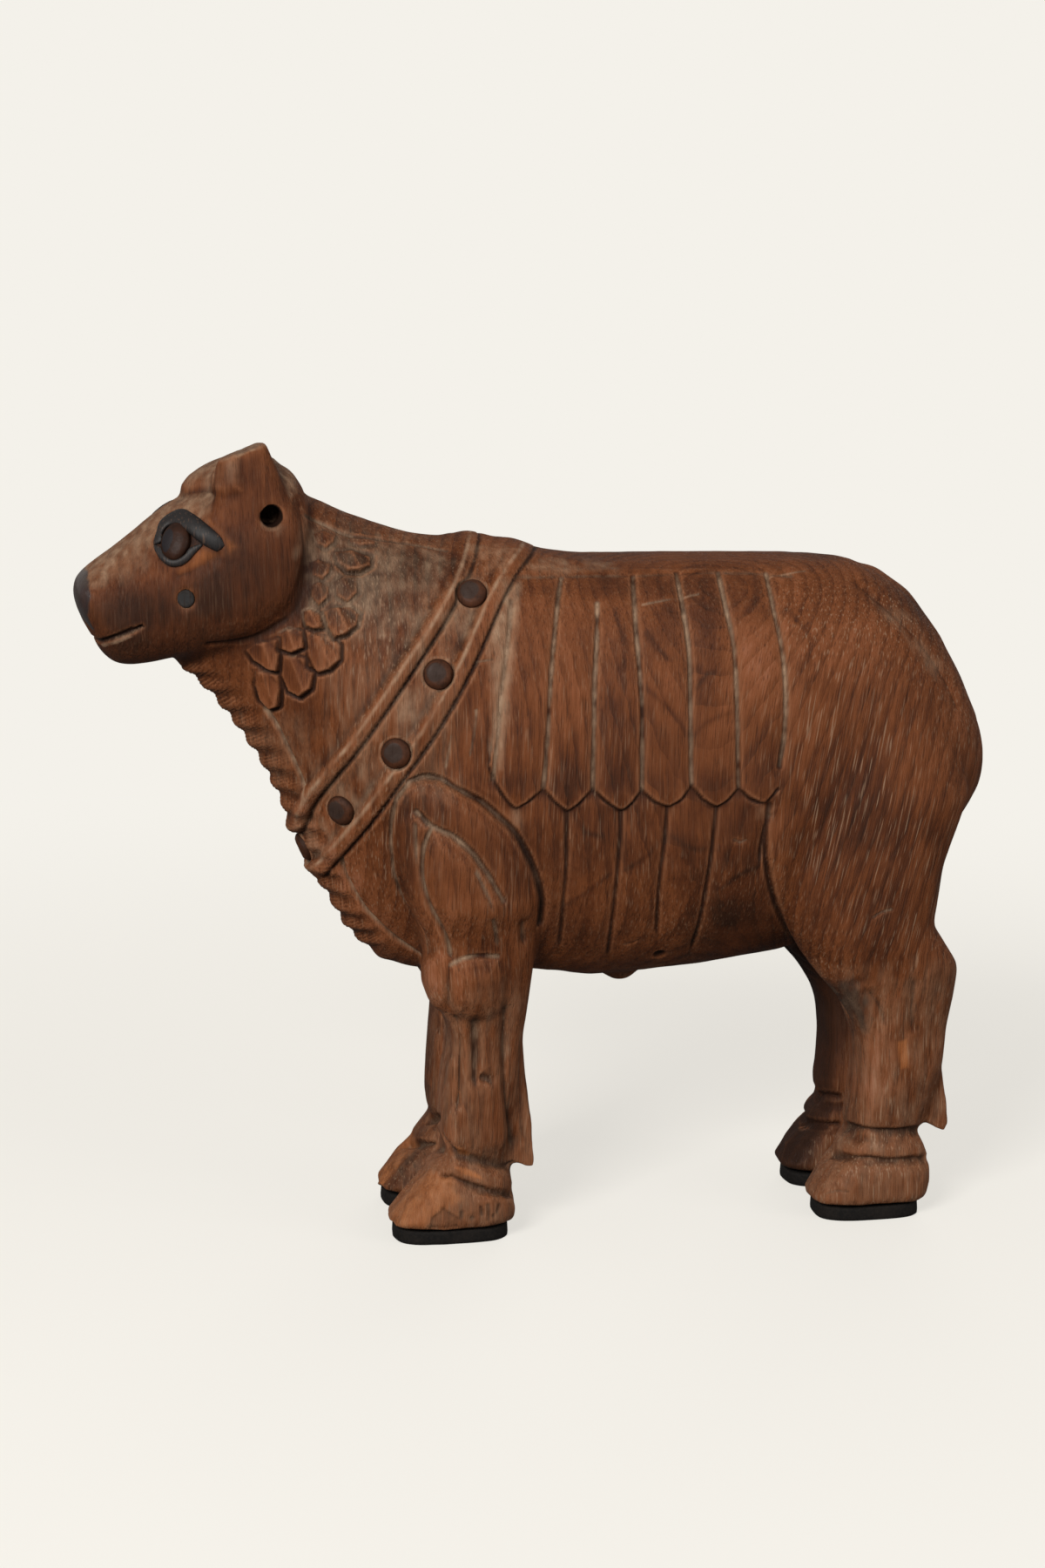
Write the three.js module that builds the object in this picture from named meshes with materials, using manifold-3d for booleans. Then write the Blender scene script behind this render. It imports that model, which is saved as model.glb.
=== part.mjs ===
// A carved wooden bull: one block of teak with a studded collar, inset eyes, cheek plugs and foot pads.
// Millimetres, +Z up. The bull faces -X, its left flank faces -Y, and its pads stand on Z = 0.
import * as THREE from "three";
import { mergeVertices } from "three/addons/utils/BufferGeometryUtils.js";
import Module from "manifold-3d";

const wasm = await Module();
wasm.setup();

// Driving dimensions of the block.
const BACK_HEIGHT = 270;
const BELLY_HEIGHT = 102;
const TRUNK_FRONT = -140;
const TRUNK_LENGTH = 330;
const TRUNK_WIDTH = 104;
const HEAD_FRONT = -177.5;
const HEAD_LENGTH = 91;
const HEAD_WIDTH = 67;
const LEG_SPREAD = 49;
const FRONT_FOOT_X = -34.5;
const HIND_FOOT_X = 138.5;
const RIGHT_FRONT_BACK = 3;
const RIGHT_HIND_BACK = 0;
const TAIL_WIDTH = 17;
const TAIL_RISE = 2;

// Driving dimensions of what is set into the block or fixed to it.
const PAD_THICKNESS = 5.5;
const PAD_INSET = 2.2;
const GLUE_LINE = 0.3;
const COLLAR_BAND = 21;
const RAIL_RADIUS = 2.6;
const RAIL_SINK = 1.1;
const STUD_RADIUS = 6;
const STUD_DOME = 2.8;
const STUD_SHANK_RADIUS = 2.8;
const STUD_SHANK_LENGTH = 10;
const STUD_SEAT_DEPTH = 1.2;
const STUD_FIRST = 37.5;
const STUD_PITCH = 35;
const STUDS_PER_SIDE = 4;
const EYE_LENGTH = 12;
const EYE_HEIGHT = 15.5;
const EYE_DOME = 4.6;
const EYE_SHANK_RADIUS = 3.2;
const EYE_SHANK_LENGTH = 9;
const EYE_SEAT_DEPTH = 2.6;
const EYE_AT = { x: -140, rise: 12 };
const PLUG_RADIUS = 3;
const PLUG_LENGTH = 12;
const PLUG_AT = { x: -137, rise: -9.5 };
const EAR_SOCKET_RADIUS = 4.3;
const EAR_SOCKET_DEPTH = 15;
const EAR_AT = { x: -103.5, rise: 21.5 };
const HORN_STUB_LEFT = 34;
const HORN_STUB_RIGHT = 27;
const HORN_SPREAD = 37;
const FIT_GAP = 0.3;

// Facets round each form.
const TRUNK_SIDES = 36;
const TRUNK_STEPS = 30;
const HEAD_SIDES = 26;
const HEAD_STEPS = 18;
const LIMB_SIDES = 16;
const RAIL_SIDES = 6;
const RAIL_STEPS = 36;
const PEG_SIDES = 14;

// Materials, as the photographed finish reads.
const finish = (color, roughness, metalness = 0) =>
  new THREE.MeshStandardMaterial({ color, roughness, metalness });
const TEAK = finish(0x6a4128, 0.62);
const DARK_PEG = finish(0x39302e, 0.4);
const GREY_PLUG = finish(0x4a4846, 0.6);
const BLACK_RUBBER = finish(0x1d1b1a, 0.85);

// Smooth monotone interpolation through keys, each { at, ...values }, as a function of at.
function spline(keys, name) {
  const gap = (i) => keys[i + 1].at - keys[i].at;
  const slope = (i) => (keys[i + 1][name] - keys[i][name]) / gap(i);
  const tangent = (i) => {
    if (i === 0) return slope(0);
    if (i === keys.length - 1) return slope(i - 1);
    const before = slope(i - 1);
    const after = slope(i);
    if (before * after <= 0) return 0;
    const heavy = 2 * gap(i) + gap(i - 1);
    const light = gap(i) + 2 * gap(i - 1);
    return (heavy + light) / (heavy / before + light / after);
  };
  return (at) => {
    let i = keys.findIndex((key) => key.at >= at) - 1;
    if (i === -2) i = keys.length - 2;
    i = Math.max(i, 0);
    const t = THREE.MathUtils.clamp((at - keys[i].at) / gap(i), 0, 1);
    const rise = t * t * (3 - 2 * t);
    const lead = t * (1 - t) * (1 - t) * gap(i) * tangent(i);
    const lag = t * t * (t - 1) * gap(i) * tangent(i + 1);
    return keys[i][name] + (keys[i + 1][name] - keys[i][name]) * rise + lead + lag;
  };
}

// A closed skin over rings of the same number of points, with a fan over each end.
function loft(rings) {
  const count = rings[0].length;
  const points = rings.flat();
  const faces = [];
  for (let r = 0; r + 1 < rings.length; r++) {
    for (let i = 0; i < count; i++) {
      const a = r * count + i;
      const b = r * count + ((i + 1) % count);
      faces.push(a, b, a + count, b, b + count, a + count);
    }
  }
  const middle = (ring) => ring.reduce((sum, p) => sum.add(p), new THREE.Vector3()).divideScalar(count);
  const first = points.push(middle(rings[0])) - 1;
  const last = points.push(middle(rings.at(-1))) - 1;
  const end = (rings.length - 1) * count;
  for (let i = 0; i < count; i++) {
    const next = (i + 1) % count;
    faces.push(first, next, i, last, end + i, end + next);
  }
  return new THREE.BufferGeometry().setFromPoints(points).setIndex(faces);
}

// A closed three.js geometry as a solid, and a solid as a three.js geometry.
function solid(geometry) {
  const bare = new THREE.BufferGeometry();
  bare.setAttribute("position", geometry.getAttribute("position"));
  bare.setIndex(geometry.index);
  const merged = mergeVertices(bare, 1e-4);
  const made = new wasm.Manifold(
    new wasm.Mesh({
      numProp: 3,
      vertProperties: new Float32Array(merged.attributes.position.array),
      triVerts: new Uint32Array(merged.index.array),
    }),
  );
  if (made.volume() < 0) throw new Error("a form is inside out");
  return made;
}

function geometryOf(manifold) {
  const mesh = manifold.getMesh();
  const geometry = new THREE.BufferGeometry();
  geometry.setAttribute("position", new THREE.BufferAttribute(mesh.vertProperties, 3));
  geometry.setIndex(new THREE.BufferAttribute(mesh.triVerts, 1));
  return geometry;
}

// Signed power, which turns a circle's sine or cosine into a superellipse's.
const bulge = (value, power) => Math.sign(value) * Math.abs(value) ** (2 / power);

// An upright slice across the block: a superellipse with its own power above and below its widest line.
function sliceRing(x, slice, sides) {
  return Array.from({ length: sides }, (_, i) => {
    const angle = (2 * Math.PI * i) / sides;
    const rise = Math.sin(angle);
    const power = rise > 0 ? slice.upper : slice.lower;
    const reach = rise > 0 ? slice.top - slice.waist : slice.waist - slice.bottom;
    const y = slice.half * bulge(Math.cos(angle), power);
    return new THREE.Vector3(x, y, slice.waist + reach * bulge(rise, power));
  });
}

// How far a slice's skin lies from the middle plane at a height, and 0 above or below the slice.
function sliceDepth(slice, z) {
  const above = z > slice.waist;
  const reach = above ? slice.top - slice.waist : slice.waist - slice.bottom;
  const share = Math.abs(z - slice.waist) / reach;
  const power = above ? slice.upper : slice.lower;
  return share >= 1 ? 0 : slice.half * (1 - share ** power) ** (1 / power);
}

// A form made of upright slices from front to back, whose keys give its outline along its length.
function slicedForm(keys, front, length, width) {
  const names = ["top", "bottom", "width", "waist", "upper", "lower"];
  const lines = Object.fromEntries(names.map((name) => [name, spline(keys, name)]));
  const sliceAt = (x) => {
    const at = THREE.MathUtils.clamp((x - front) / length, 0, 1);
    const top = BACK_HEIGHT + lines.top(at);
    const bottom = lines.bottom(at);
    const waist = THREE.MathUtils.lerp(bottom, top, lines.waist(at));
    return {
      top,
      bottom,
      waist,
      half: (lines.width(at) * width) / 2,
      upper: lines.upper(at),
      lower: lines.lower(at),
    };
  };
  const depth = (x, z) => sliceDepth(sliceAt(x), z);
  return { keys, front, length, sliceAt, depth };
}

// Stations close up towards both ends, where a form rounds off.
function formGeometry(form, sides, steps) {
  const rings = Array.from({ length: steps + 1 }, (_, i) => {
    const even = i / steps;
    const eased = THREE.MathUtils.lerp(even, (1 - Math.cos(Math.PI * even)) / 2, 0.6);
    const x = form.front + form.length * eased;
    return sliceRing(x, form.sliceAt(x), sides);
  });
  return loft(rings);
}

// The outward direction of a form's flank at a place seen from the side, on the left (-1) or the right (1).
function flankNormal(form, x, z, side) {
  const step = 0.5;
  const alongX = (form.depth(x + step, z) - form.depth(x - step, z)) / (2 * step);
  const alongZ = (form.depth(x, z + step) - form.depth(x, z - step)) / (2 * step);
  return new THREE.Vector3(-alongX, side, -alongZ).normalize();
}

// Trunk outline from throat to rump. Tops are above the back line; bottoms are above the ground, the belly's
// from BELLY_HEIGHT; widths are shares of the trunk's; waist is the height of the widest line.
const belly = (rise) => BELLY_HEIGHT + rise;
const TRUNK = slicedForm(
  [
    { at: 0.0, top: -24, bottom: belly(131), width: 0.18, waist: 0.5, upper: 2, lower: 2 },
    { at: 0.045, top: 8, bottom: belly(117), width: 0.36, waist: 0.55, upper: 2, lower: 1.8 },
    { at: 0.108, top: 24, bottom: belly(87), width: 0.49, waist: 0.6, upper: 2.1, lower: 1.7 },
    { at: 0.15, top: 28, bottom: belly(57), width: 0.57, waist: 0.58, upper: 2.1, lower: 1.7 },
    { at: 0.192, top: 22, bottom: belly(27.5), width: 0.69, waist: 0.55, upper: 2, lower: 1.75 },
    { at: 0.241, top: 16, bottom: belly(8), width: 0.81, waist: 0.52, upper: 2, lower: 1.85 },
    { at: 0.322, top: 9, bottom: belly(1.5), width: 0.93, waist: 0.5, upper: 2.1, lower: 2 },
    { at: 0.365, top: 10.5, bottom: belly(1.5), width: 0.97, waist: 0.49, upper: 2.2, lower: 2.1 },
    { at: 0.428, top: 5, bottom: belly(1.5), width: 0.98, waist: 0.48, upper: 2.5, lower: 2.2 },
    { at: 0.5, top: 0.5, bottom: belly(-2), width: 1, waist: 0.47, upper: 2.9, lower: 2.3 },
    { at: 0.61, top: 0, bottom: belly(0), width: 1, waist: 0.47, upper: 3, lower: 2.3 },
    { at: 0.73, top: -0.5, bottom: belly(4.5), width: 0.99, waist: 0.48, upper: 2.9, lower: 2.2 },
    { at: 0.82, top: -2.5, bottom: belly(10), width: 0.97, waist: 0.5, upper: 2.6, lower: 2.1 },
    { at: 0.885, top: -13.5, bottom: belly(26), width: 0.92, waist: 0.5, upper: 2.4, lower: 2.1 },
    { at: 0.93, top: -30.5, bottom: belly(43), width: 0.82, waist: 0.5, upper: 2.2, lower: 2.1 },
    { at: 0.97, top: -54, bottom: belly(59), width: 0.61, waist: 0.5, upper: 2.1, lower: 2.1 },
    { at: 0.99, top: -69, bottom: belly(69), width: 0.38, waist: 0.5, upper: 2, lower: 2 },
    { at: 1.0, top: -80, bottom: belly(79), width: 0.14, waist: 0.5, upper: 2, lower: 2 },
  ],
  TRUNK_FRONT,
  TRUNK_LENGTH,
  TRUNK_WIDTH,
);

// Head outline from muzzle to poll, with tops and bottoms both measured from the back line.
const fromBack = (rise) => BACK_HEIGHT + rise;
const HEAD = slicedForm(
  [
    { at: 0.0, top: -6, bottom: fromBack(-13), width: 0.36, waist: 0.5, upper: 2.4, lower: 2.4 },
    { at: 0.016, top: -3.5, bottom: fromBack(-18), width: 0.5, waist: 0.52, upper: 2.4, lower: 2.4 },
    { at: 0.07, top: 1.5, bottom: fromBack(-27), width: 0.61, waist: 0.5, upper: 2.3, lower: 2.5 },
    { at: 0.147, top: 6.2, bottom: fromBack(-37), width: 0.68, waist: 0.48, upper: 2.2, lower: 2.6 },
    { at: 0.234, top: 12.5, bottom: fromBack(-38.5), width: 0.73, waist: 0.46, upper: 2.2, lower: 2.6 },
    { at: 0.342, top: 20, bottom: fromBack(-37), width: 0.79, waist: 0.46, upper: 2.2, lower: 2.6 },
    { at: 0.462, top: 27.8, bottom: fromBack(-36), width: 0.88, waist: 0.46, upper: 2.3, lower: 2.7 },
    { at: 0.592, top: 34, bottom: fromBack(-34), width: 0.96, waist: 0.46, upper: 2.4, lower: 2.8 },
    { at: 0.722, top: 38, bottom: fromBack(-31.5), width: 1, waist: 0.46, upper: 2.5, lower: 2.8 },
    { at: 0.82, top: 40, bottom: fromBack(-28), width: 0.99, waist: 0.46, upper: 2.5, lower: 2.7 },
    { at: 0.91, top: 38.5, bottom: fromBack(-22), width: 0.94, waist: 0.46, upper: 2.4, lower: 2.5 },
    { at: 0.965, top: 33, bottom: fromBack(-12), width: 0.83, waist: 0.48, upper: 2.3, lower: 2.3 },
    { at: 0.99, top: 28, bottom: fromBack(3), width: 0.64, waist: 0.5, upper: 2.2, lower: 2.2 },
    { at: 1.0, top: 26, bottom: fromBack(13), width: 0.4, waist: 0.5, upper: 2.2, lower: 2.2 },
  ],
  HEAD_FRONT,
  HEAD_LENGTH,
  HEAD_WIDTH,
);

// Leg outlines from the sole up: front and back are offsets from the foot's middle, half is half the leg's
// thickness, out is how far it stands outside the foot's middle, tilt lifts the ring's front edge.
const SOLE = PAD_THICKNESS + GLUE_LINE;
const FRONT_LEG = [
  { z: SOLE, front: 25.5, back: 25.5, half: 17.5, out: 0, power: 3.2, tilt: 0 },
  { z: 9.5, front: 25.8, back: 27, half: 19.5, out: 0, power: 3.2, tilt: 0 },
  { z: 16, front: 19, back: 27.5, half: 19.5, out: 0, power: 3, tilt: 0.1 },
  { z: 22, front: 12.5, back: 27, half: 19, out: 0, power: 2.8, tilt: 0.2 },
  { z: 23.5, front: 11, back: 25.3, half: 17.6, out: 0, power: 2.6, tilt: 0.24 },
  { z: 26.5, front: 10.2, back: 27, half: 18.8, out: 0, power: 2.4, tilt: 0.28 },
  { z: 32, front: 6, back: 26, half: 17.8, out: 0, power: 2.4, tilt: 0.28 },
  { z: 36, front: 3.4, back: 23.5, half: 15.6, out: 0, power: 2.4, tilt: 0.22 },
  { z: 42, front: 4.4, back: 26, half: 17, out: 0, power: 2.5, tilt: 0.12 },
  { z: 52, front: 4.2, back: 27, half: 17, out: 0, power: 2.5, tilt: 0.05 },
  { z: 66, front: 2.8, back: 28.5, half: 16, out: 1.5, power: 2.6, tilt: 0 },
  { z: 84, front: 1, back: 30, half: 16, out: 2.5, power: 2.6, tilt: 0 },
  { z: 90, front: 2, back: 31, half: 16.4, out: 3, power: 2.6, tilt: 0 },
  { z: 97, front: 7, back: 32, half: 17.5, out: 3.5, power: 2.5, tilt: 0 },
  { z: 108, front: 11.5, back: 33.5, half: 19, out: 4, power: 2.4, tilt: 0 },
  { z: 119, front: 11, back: 35, half: 19.5, out: 4.5, power: 2.4, tilt: 0 },
  { z: 136, front: 15.5, back: 36, half: 20.5, out: 6, power: 2.4, tilt: 0 },
  { z: 155, front: 21, back: 36, half: 20.5, out: 7, power: 2.3, tilt: 0 },
  { z: 172, front: 22.5, back: 31, half: 18, out: 9, power: 2.2, tilt: 0 },
  { z: 184, front: 20, back: 20, half: 14, out: 12, power: 2.1, tilt: 0 },
  { z: 192, front: 12, back: 8, half: 8, out: 16, power: 2, tilt: 0 },
];
const HIND_LEG = [
  { z: SOLE, front: 24.5, back: 23.5, half: 17.5, out: 0, power: 3.2, tilt: 0 },
  { z: 9.5, front: 25.5, back: 25.5, half: 19.5, out: 0, power: 3.2, tilt: 0 },
  { z: 16, front: 20.8, back: 26.5, half: 19.5, out: 0, power: 3, tilt: 0.06 },
  { z: 22.5, front: 15.2, back: 27, half: 19, out: 0, power: 2.8, tilt: 0.08 },
  { z: 24, front: 13.2, back: 25.3, half: 17.6, out: 0, power: 2.6, tilt: 0.08 },
  { z: 26.5, front: 13.9, back: 26.5, half: 18.8, out: 0, power: 2.4, tilt: 0.08 },
  { z: 31, front: 11.6, back: 24.5, half: 18, out: 0, power: 2.4, tilt: 0.06 },
  { z: 34.5, front: 8, back: 22, half: 16, out: 0, power: 2.4, tilt: 0 },
  { z: 38, front: 9, back: 23.5, half: 17.2, out: 0, power: 2.5, tilt: 0 },
  { z: 49, front: 7, back: 26, half: 17, out: 0.5, power: 2.6, tilt: 0 },
  { z: 62, front: 5.8, back: 31, half: 16.5, out: 1.5, power: 2.6, tilt: 0 },
  { z: 77, front: 7.2, back: 32, half: 16.5, out: 2.5, power: 2.6, tilt: 0 },
  { z: 92, front: 14.5, back: 34.5, half: 17.5, out: 4, power: 2.6, tilt: 0 },
  { z: 104, front: 24.5, back: 35.5, half: 18.5, out: 5.5, power: 2.5, tilt: 0 },
  { z: 122, front: 37, back: 24, half: 20, out: 7, power: 2.4, tilt: 0 },
  { z: 145, front: 44, back: 27, half: 21, out: 7.5, power: 2.4, tilt: 0 },
  { z: 175, front: 45, back: 38, half: 21, out: 7.5, power: 2.4, tilt: 0 },
  { z: 197, front: 41, back: 33, half: 19.5, out: 7, power: 2.3, tilt: 0 },
  { z: 214, front: 33, back: 26, half: 16, out: 7.5, power: 2.2, tilt: 0 },
  { z: 226, front: 20, back: 15, half: 9, out: 8.5, power: 2, tilt: 0 },
];
const SIDES = { left: -1, right: 1 };

// One level ring round a leg, lifted at its front edge by its tilt.
function limbRing(key, footX, side) {
  return Array.from({ length: LIMB_SIDES }, (_, i) => {
    const angle = (2 * Math.PI * i) / LIMB_SIDES;
    const forward = bulge(Math.cos(angle), key.power);
    const reach = forward < 0 ? key.front : key.back;
    const across = key.half * bulge(Math.sin(angle), key.power);
    const offset = forward * reach;
    return new THREE.Vector3(
      footX + offset,
      side * (LEG_SPREAD / 2 + key.out) + across,
      key.z - offset * key.tilt,
    );
  });
}

function leg(keys, footX, side) {
  return solid(loft(keys.map((key) => limbRing(key, footX, side))));
}

// The tendon behind each leg runs down to a squared dewclaw, which hangs clear of the pastern.
const TENDON_THICKNESS = 13;
const TENDON_BEVEL = 2;
const FRONT_TENDON = { inner: 15, outer: 34, low: 27, heel: 34, high: 78 };
const HIND_TENDON = { inner: 19, outer: 33, low: 33.5, heel: 40, high: 80 };

function tendon(outline, footX, side) {
  const { inner, outer, low, heel, high } = outline;
  const shape = new THREE.Shape();
  shape.moveTo(inner, heel);
  shape.lineTo(outer - TENDON_BEVEL, low);
  shape.quadraticCurveTo(outer, low, outer, low + TENDON_BEVEL * 2);
  shape.quadraticCurveTo(outer - 3.5, (low + high) / 2, outer - 5.5, high);
  shape.lineTo(inner, high);
  const made = new THREE.ExtrudeGeometry(shape, {
    depth: TENDON_THICKNESS - 2 * TENDON_BEVEL,
    bevelThickness: TENDON_BEVEL,
    bevelSize: TENDON_BEVEL / 2,
    bevelSegments: 2,
    curveSegments: 5,
  });
  made.rotateX(Math.PI / 2);
  made.translate(footX, (side * LEG_SPREAD) / 2 + TENDON_THICKNESS / 2 - TENDON_BEVEL, 0);
  return solid(made);
}

// A horn's broken stub: a squared mass that grows out of the side of the poll, is cut flat across its top
// and slopes down to the front.
const STUB_FOOT = { x: -109, rise: 12, long: 20, thick: 13 };
const STUB_TOP = { x: -113.5, long: 9, thick: 8 };
const STUB_SLOPE = 0.42;

function hornStub(side, height) {
  const { lerp } = THREE.MathUtils;
  const rings = [0, 0.35, 0.7, 1].map((level) => {
    const long = lerp(STUB_FOOT.long, STUB_TOP.long, level);
    const thick = lerp(STUB_FOOT.thick, STUB_TOP.thick, level);
    const z = BACK_HEIGHT + STUB_FOOT.rise + height * level;
    return Array.from({ length: LIMB_SIDES }, (_, i) => {
      const angle = (2 * Math.PI * i) / LIMB_SIDES;
      const x = long * bulge(Math.cos(angle), 3.4);
      const y = (side * HORN_SPREAD) / 2 + thick * bulge(Math.sin(angle), 3.4);
      return new THREE.Vector3(lerp(STUB_FOOT.x, STUB_TOP.x, level) + x, y, z + x * STUB_SLOPE * level);
    });
  });
  return solid(loft(rings));
}

// The forelock between the horns, a smooth cap that stands over the brow.
function forelock() {
  const cap = new THREE.SphereGeometry(1, 16, 10);
  cap.scale(21, 15, 9);
  cap.rotateY(-0.32);
  cap.translate(-116.5, 0, BACK_HEIGHT + 32.5);
  return solid(cap);
}

// The tail lies flat down the middle of the rump, a low strip that narrows to a rounded end.
const TAIL_DEPTH = 6;
const TAIL_SIDES = 10;
const TAIL_STATIONS = [
  { at: 0.83, low: false, width: 0.8, rise: -1 },
  { at: 0.86, low: false, width: 1, rise: 0.7 },
  { at: 0.9, low: false, width: 1, rise: 1 },
  { at: 0.94, low: false, width: 0.97, rise: 1 },
  { at: 0.97, low: false, width: 0.93, rise: 1 },
  { at: 0.992, low: false, width: 0.9, rise: 1 },
  { at: 0.996, low: true, width: 0.86, rise: 1 },
  { at: 0.975, low: true, width: 0.82, rise: 1 },
  { at: 0.955, low: true, width: 0.75, rise: 1 },
  { at: 0.94, low: true, width: 0.45, rise: -0.5 },
];

function tail() {
  const spine = TAIL_STATIONS.map(({ at, low }) => {
    const x = TRUNK_FRONT + TRUNK_LENGTH * at;
    const slice = TRUNK.sliceAt(x);
    return new THREE.Vector3(x, 0, low ? slice.bottom : slice.top);
  });
  const rings = spine.map((spot, i) => {
    const { width, rise } = TAIL_STATIONS[i];
    const before = spine[Math.max(i - 1, 0)];
    const after = spine[Math.min(i + 1, spine.length - 1)];
    const along = new THREE.Vector3().subVectors(after, before).normalize();
    const outward = new THREE.Vector3(-along.z, 0, along.x);
    return Array.from({ length: TAIL_SIDES }, (_, k) => {
      const angle = (2 * Math.PI * k) / TAIL_SIDES;
      const across = (width * TAIL_WIDTH * bulge(Math.cos(angle), 2.8)) / 2;
      const lift = rise * TAIL_RISE + (TAIL_DEPTH / 2) * (bulge(Math.sin(angle), 2.8) - 1);
      return spot.clone().addScaledVector(outward, lift).setY(across);
    });
  });
  return solid(loft(rings));
}

// The sheath, a small swelling under the belly.
function sheath() {
  const swelling = new THREE.SphereGeometry(1, 12, 8);
  swelling.scale(8.5, 7.5, 6.5);
  swelling.translate(40, 0, BELLY_HEIGHT);
  return solid(swelling);
}

// The collar's middle line seen from the side, from the withers down to the breast.
const COLLAR_LINE = new THREE.CatmullRomCurve3(
  [
    new THREE.Vector3(-14, 0, BACK_HEIGHT + 14),
    new THREE.Vector3(-27, 0, BACK_HEIGHT - 11),
    new THREE.Vector3(-42, 0, BACK_HEIGHT - 41),
    new THREE.Vector3(-60, 0, BACK_HEIGHT - 73),
    new THREE.Vector3(-79, 0, BACK_HEIGHT - 96),
    new THREE.Vector3(-94, 0, BACK_HEIGHT - 124),
  ],
  false,
  "centripetal",
);

// One side's half of a line round the trunk, from breast to withers, under a line drawn on its side and moved
// across the band by an offset. It may lie a little under the skin.
function halfRing(line, offset, sink = 0, fineness = 160) {
  const half = [];
  for (let i = fineness; i >= 0; i--) {
    const at = line.getPointAt(i / fineness);
    const along = line.getTangentAt(i / fineness);
    const x = at.x - along.z * offset;
    const z = at.z + along.x * offset;
    const y = TRUNK.depth(x, z);
    if (y <= 0) continue;
    const inward = new THREE.Vector3(0, -y, TRUNK.sliceAt(x).waist - z).setLength(sink);
    half.push(new THREE.Vector3(x, y, z).add(inward));
  }
  return half;
}

const mirrored = (points) => points.map((p) => new THREE.Vector3(p.x, -p.y, p.z));

function collarRail(offset) {
  const right = halfRing(COLLAR_LINE, offset, RAIL_SINK);
  const path = new THREE.CatmullRomCurve3([...right, ...mirrored(right).reverse()], true, "centripetal");
  return solid(new THREE.TubeGeometry(path, RAIL_STEPS, RAIL_RADIUS, RAIL_SIDES, true));
}

// Where a piece is let into the block: a point on the skin and the way out of it.
function frameAt(point, outward) {
  const across = new THREE.Vector3().crossVectors(outward, new THREE.Vector3(0, 0, 1)).normalize();
  const up = new THREE.Vector3().crossVectors(across, outward);
  return new THREE.Matrix4().makeBasis(across, outward, up).setPosition(point);
}

function seatOn(form, x, z, side) {
  return frameAt(new THREE.Vector3(x, side * form.depth(x, z), z), flankNormal(form, x, z, side));
}

// The studs' seats: one at the front of the breast, then a row up each side at an even pitch.
function studSeats() {
  const right = halfRing(COLLAR_LINE, 0);
  const breast = new THREE.Vector3(right[0].x, 0, right[0].z);
  const row = new THREE.CatmullRomCurve3([breast, ...right], false, "centripetal");
  const whole = row.getLength();
  const slope = TRUNK.sliceAt(breast.x + 1).bottom - TRUNK.sliceAt(breast.x - 1).bottom;
  const seats = { stud_breast: frameAt(breast, new THREE.Vector3(slope, 0, -2).normalize()) };
  for (const [name, side] of Object.entries(SIDES)) {
    for (let i = 0; i < STUDS_PER_SIDE; i++) {
      const at = row.getPointAt((STUD_FIRST + i * STUD_PITCH) / whole);
      seats[`stud_${name}_${i + 1}`] = seatOn(TRUNK, at.x, at.z, side);
    }
  }
  return seats;
}

const headSeat = (place, side) => seatOn(HEAD, place.x, BACK_HEIGHT + place.rise, side);

// Pegs are turned about +Y, with their seats at Y = -depth and their shanks below that.
function lathe(profile) {
  return new THREE.LatheGeometry(
    profile.map(([r, y]) => new THREE.Vector2(r, y)),
    PEG_SIDES,
  );
}

// A peg with a domed head: shank, flat underside, short rim and a round dome.
function domedPeg(radius, dome, seat, shankRadius, shankLength) {
  const under = -seat + FIT_GAP;
  const rim = dome * 0.25;
  const arc = [0.3, 0.6, 0.85].map((share) => {
    const angle = (share * Math.PI) / 2;
    return [radius * Math.cos(angle), rim + (dome - rim) * Math.sin(angle)];
  });
  return lathe([
    [0, under - shankLength],
    [shankRadius, under - shankLength],
    [shankRadius, under],
    [radius, under],
    [radius, rim],
    ...arc,
    [0, dome],
  ]);
}

// The hole that such a peg sits in: a bore for the shank and a shallow seat for the head, open upwards.
function pegHole(radius, seat, shankRadius, shankLength) {
  const clear = radius * 2;
  return lathe([
    [0, -seat - shankLength - FIT_GAP],
    [shankRadius + FIT_GAP, -seat - shankLength - FIT_GAP],
    [shankRadius + FIT_GAP, -seat],
    [radius + FIT_GAP, -seat],
    [radius + FIT_GAP, clear],
    [0, clear],
  ]);
}

const eyeShape = (geometry) => geometry.scale(EYE_LENGTH / EYE_HEIGHT, 1, 1);
const studPeg = () => domedPeg(STUD_RADIUS, STUD_DOME, STUD_SEAT_DEPTH, STUD_SHANK_RADIUS, STUD_SHANK_LENGTH);
const studHole = () => pegHole(STUD_RADIUS, STUD_SEAT_DEPTH, STUD_SHANK_RADIUS, STUD_SHANK_LENGTH);
const eyePeg = () =>
  eyeShape(domedPeg(EYE_HEIGHT / 2, EYE_DOME, EYE_SEAT_DEPTH, EYE_SHANK_RADIUS, EYE_SHANK_LENGTH));
const eyeHole = () => eyeShape(pegHole(EYE_HEIGHT / 2, EYE_SEAT_DEPTH, EYE_SHANK_RADIUS, EYE_SHANK_LENGTH));

// The cheek plug is a plain dowel, a hair proud of the cheek with its edge eased.
const PLUG_PROUD = 0.5;
function cheekPlug() {
  return lathe([
    [0, -PLUG_LENGTH],
    [PLUG_RADIUS, -PLUG_LENGTH],
    [PLUG_RADIUS, PLUG_PROUD * 0.4],
    [PLUG_RADIUS * 0.8, PLUG_PROUD],
    [0, PLUG_PROUD],
  ]);
}

// A round hole straight into the skin at a seat.
function bore(radius, depth) {
  const clear = radius * 3;
  return lathe([
    [0, -depth],
    [radius, -depth],
    [radius, clear],
    [0, clear],
  ]);
}

const cutter = (geometry, seat) => solid(geometry.clone().applyMatrix4(seat));

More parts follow.
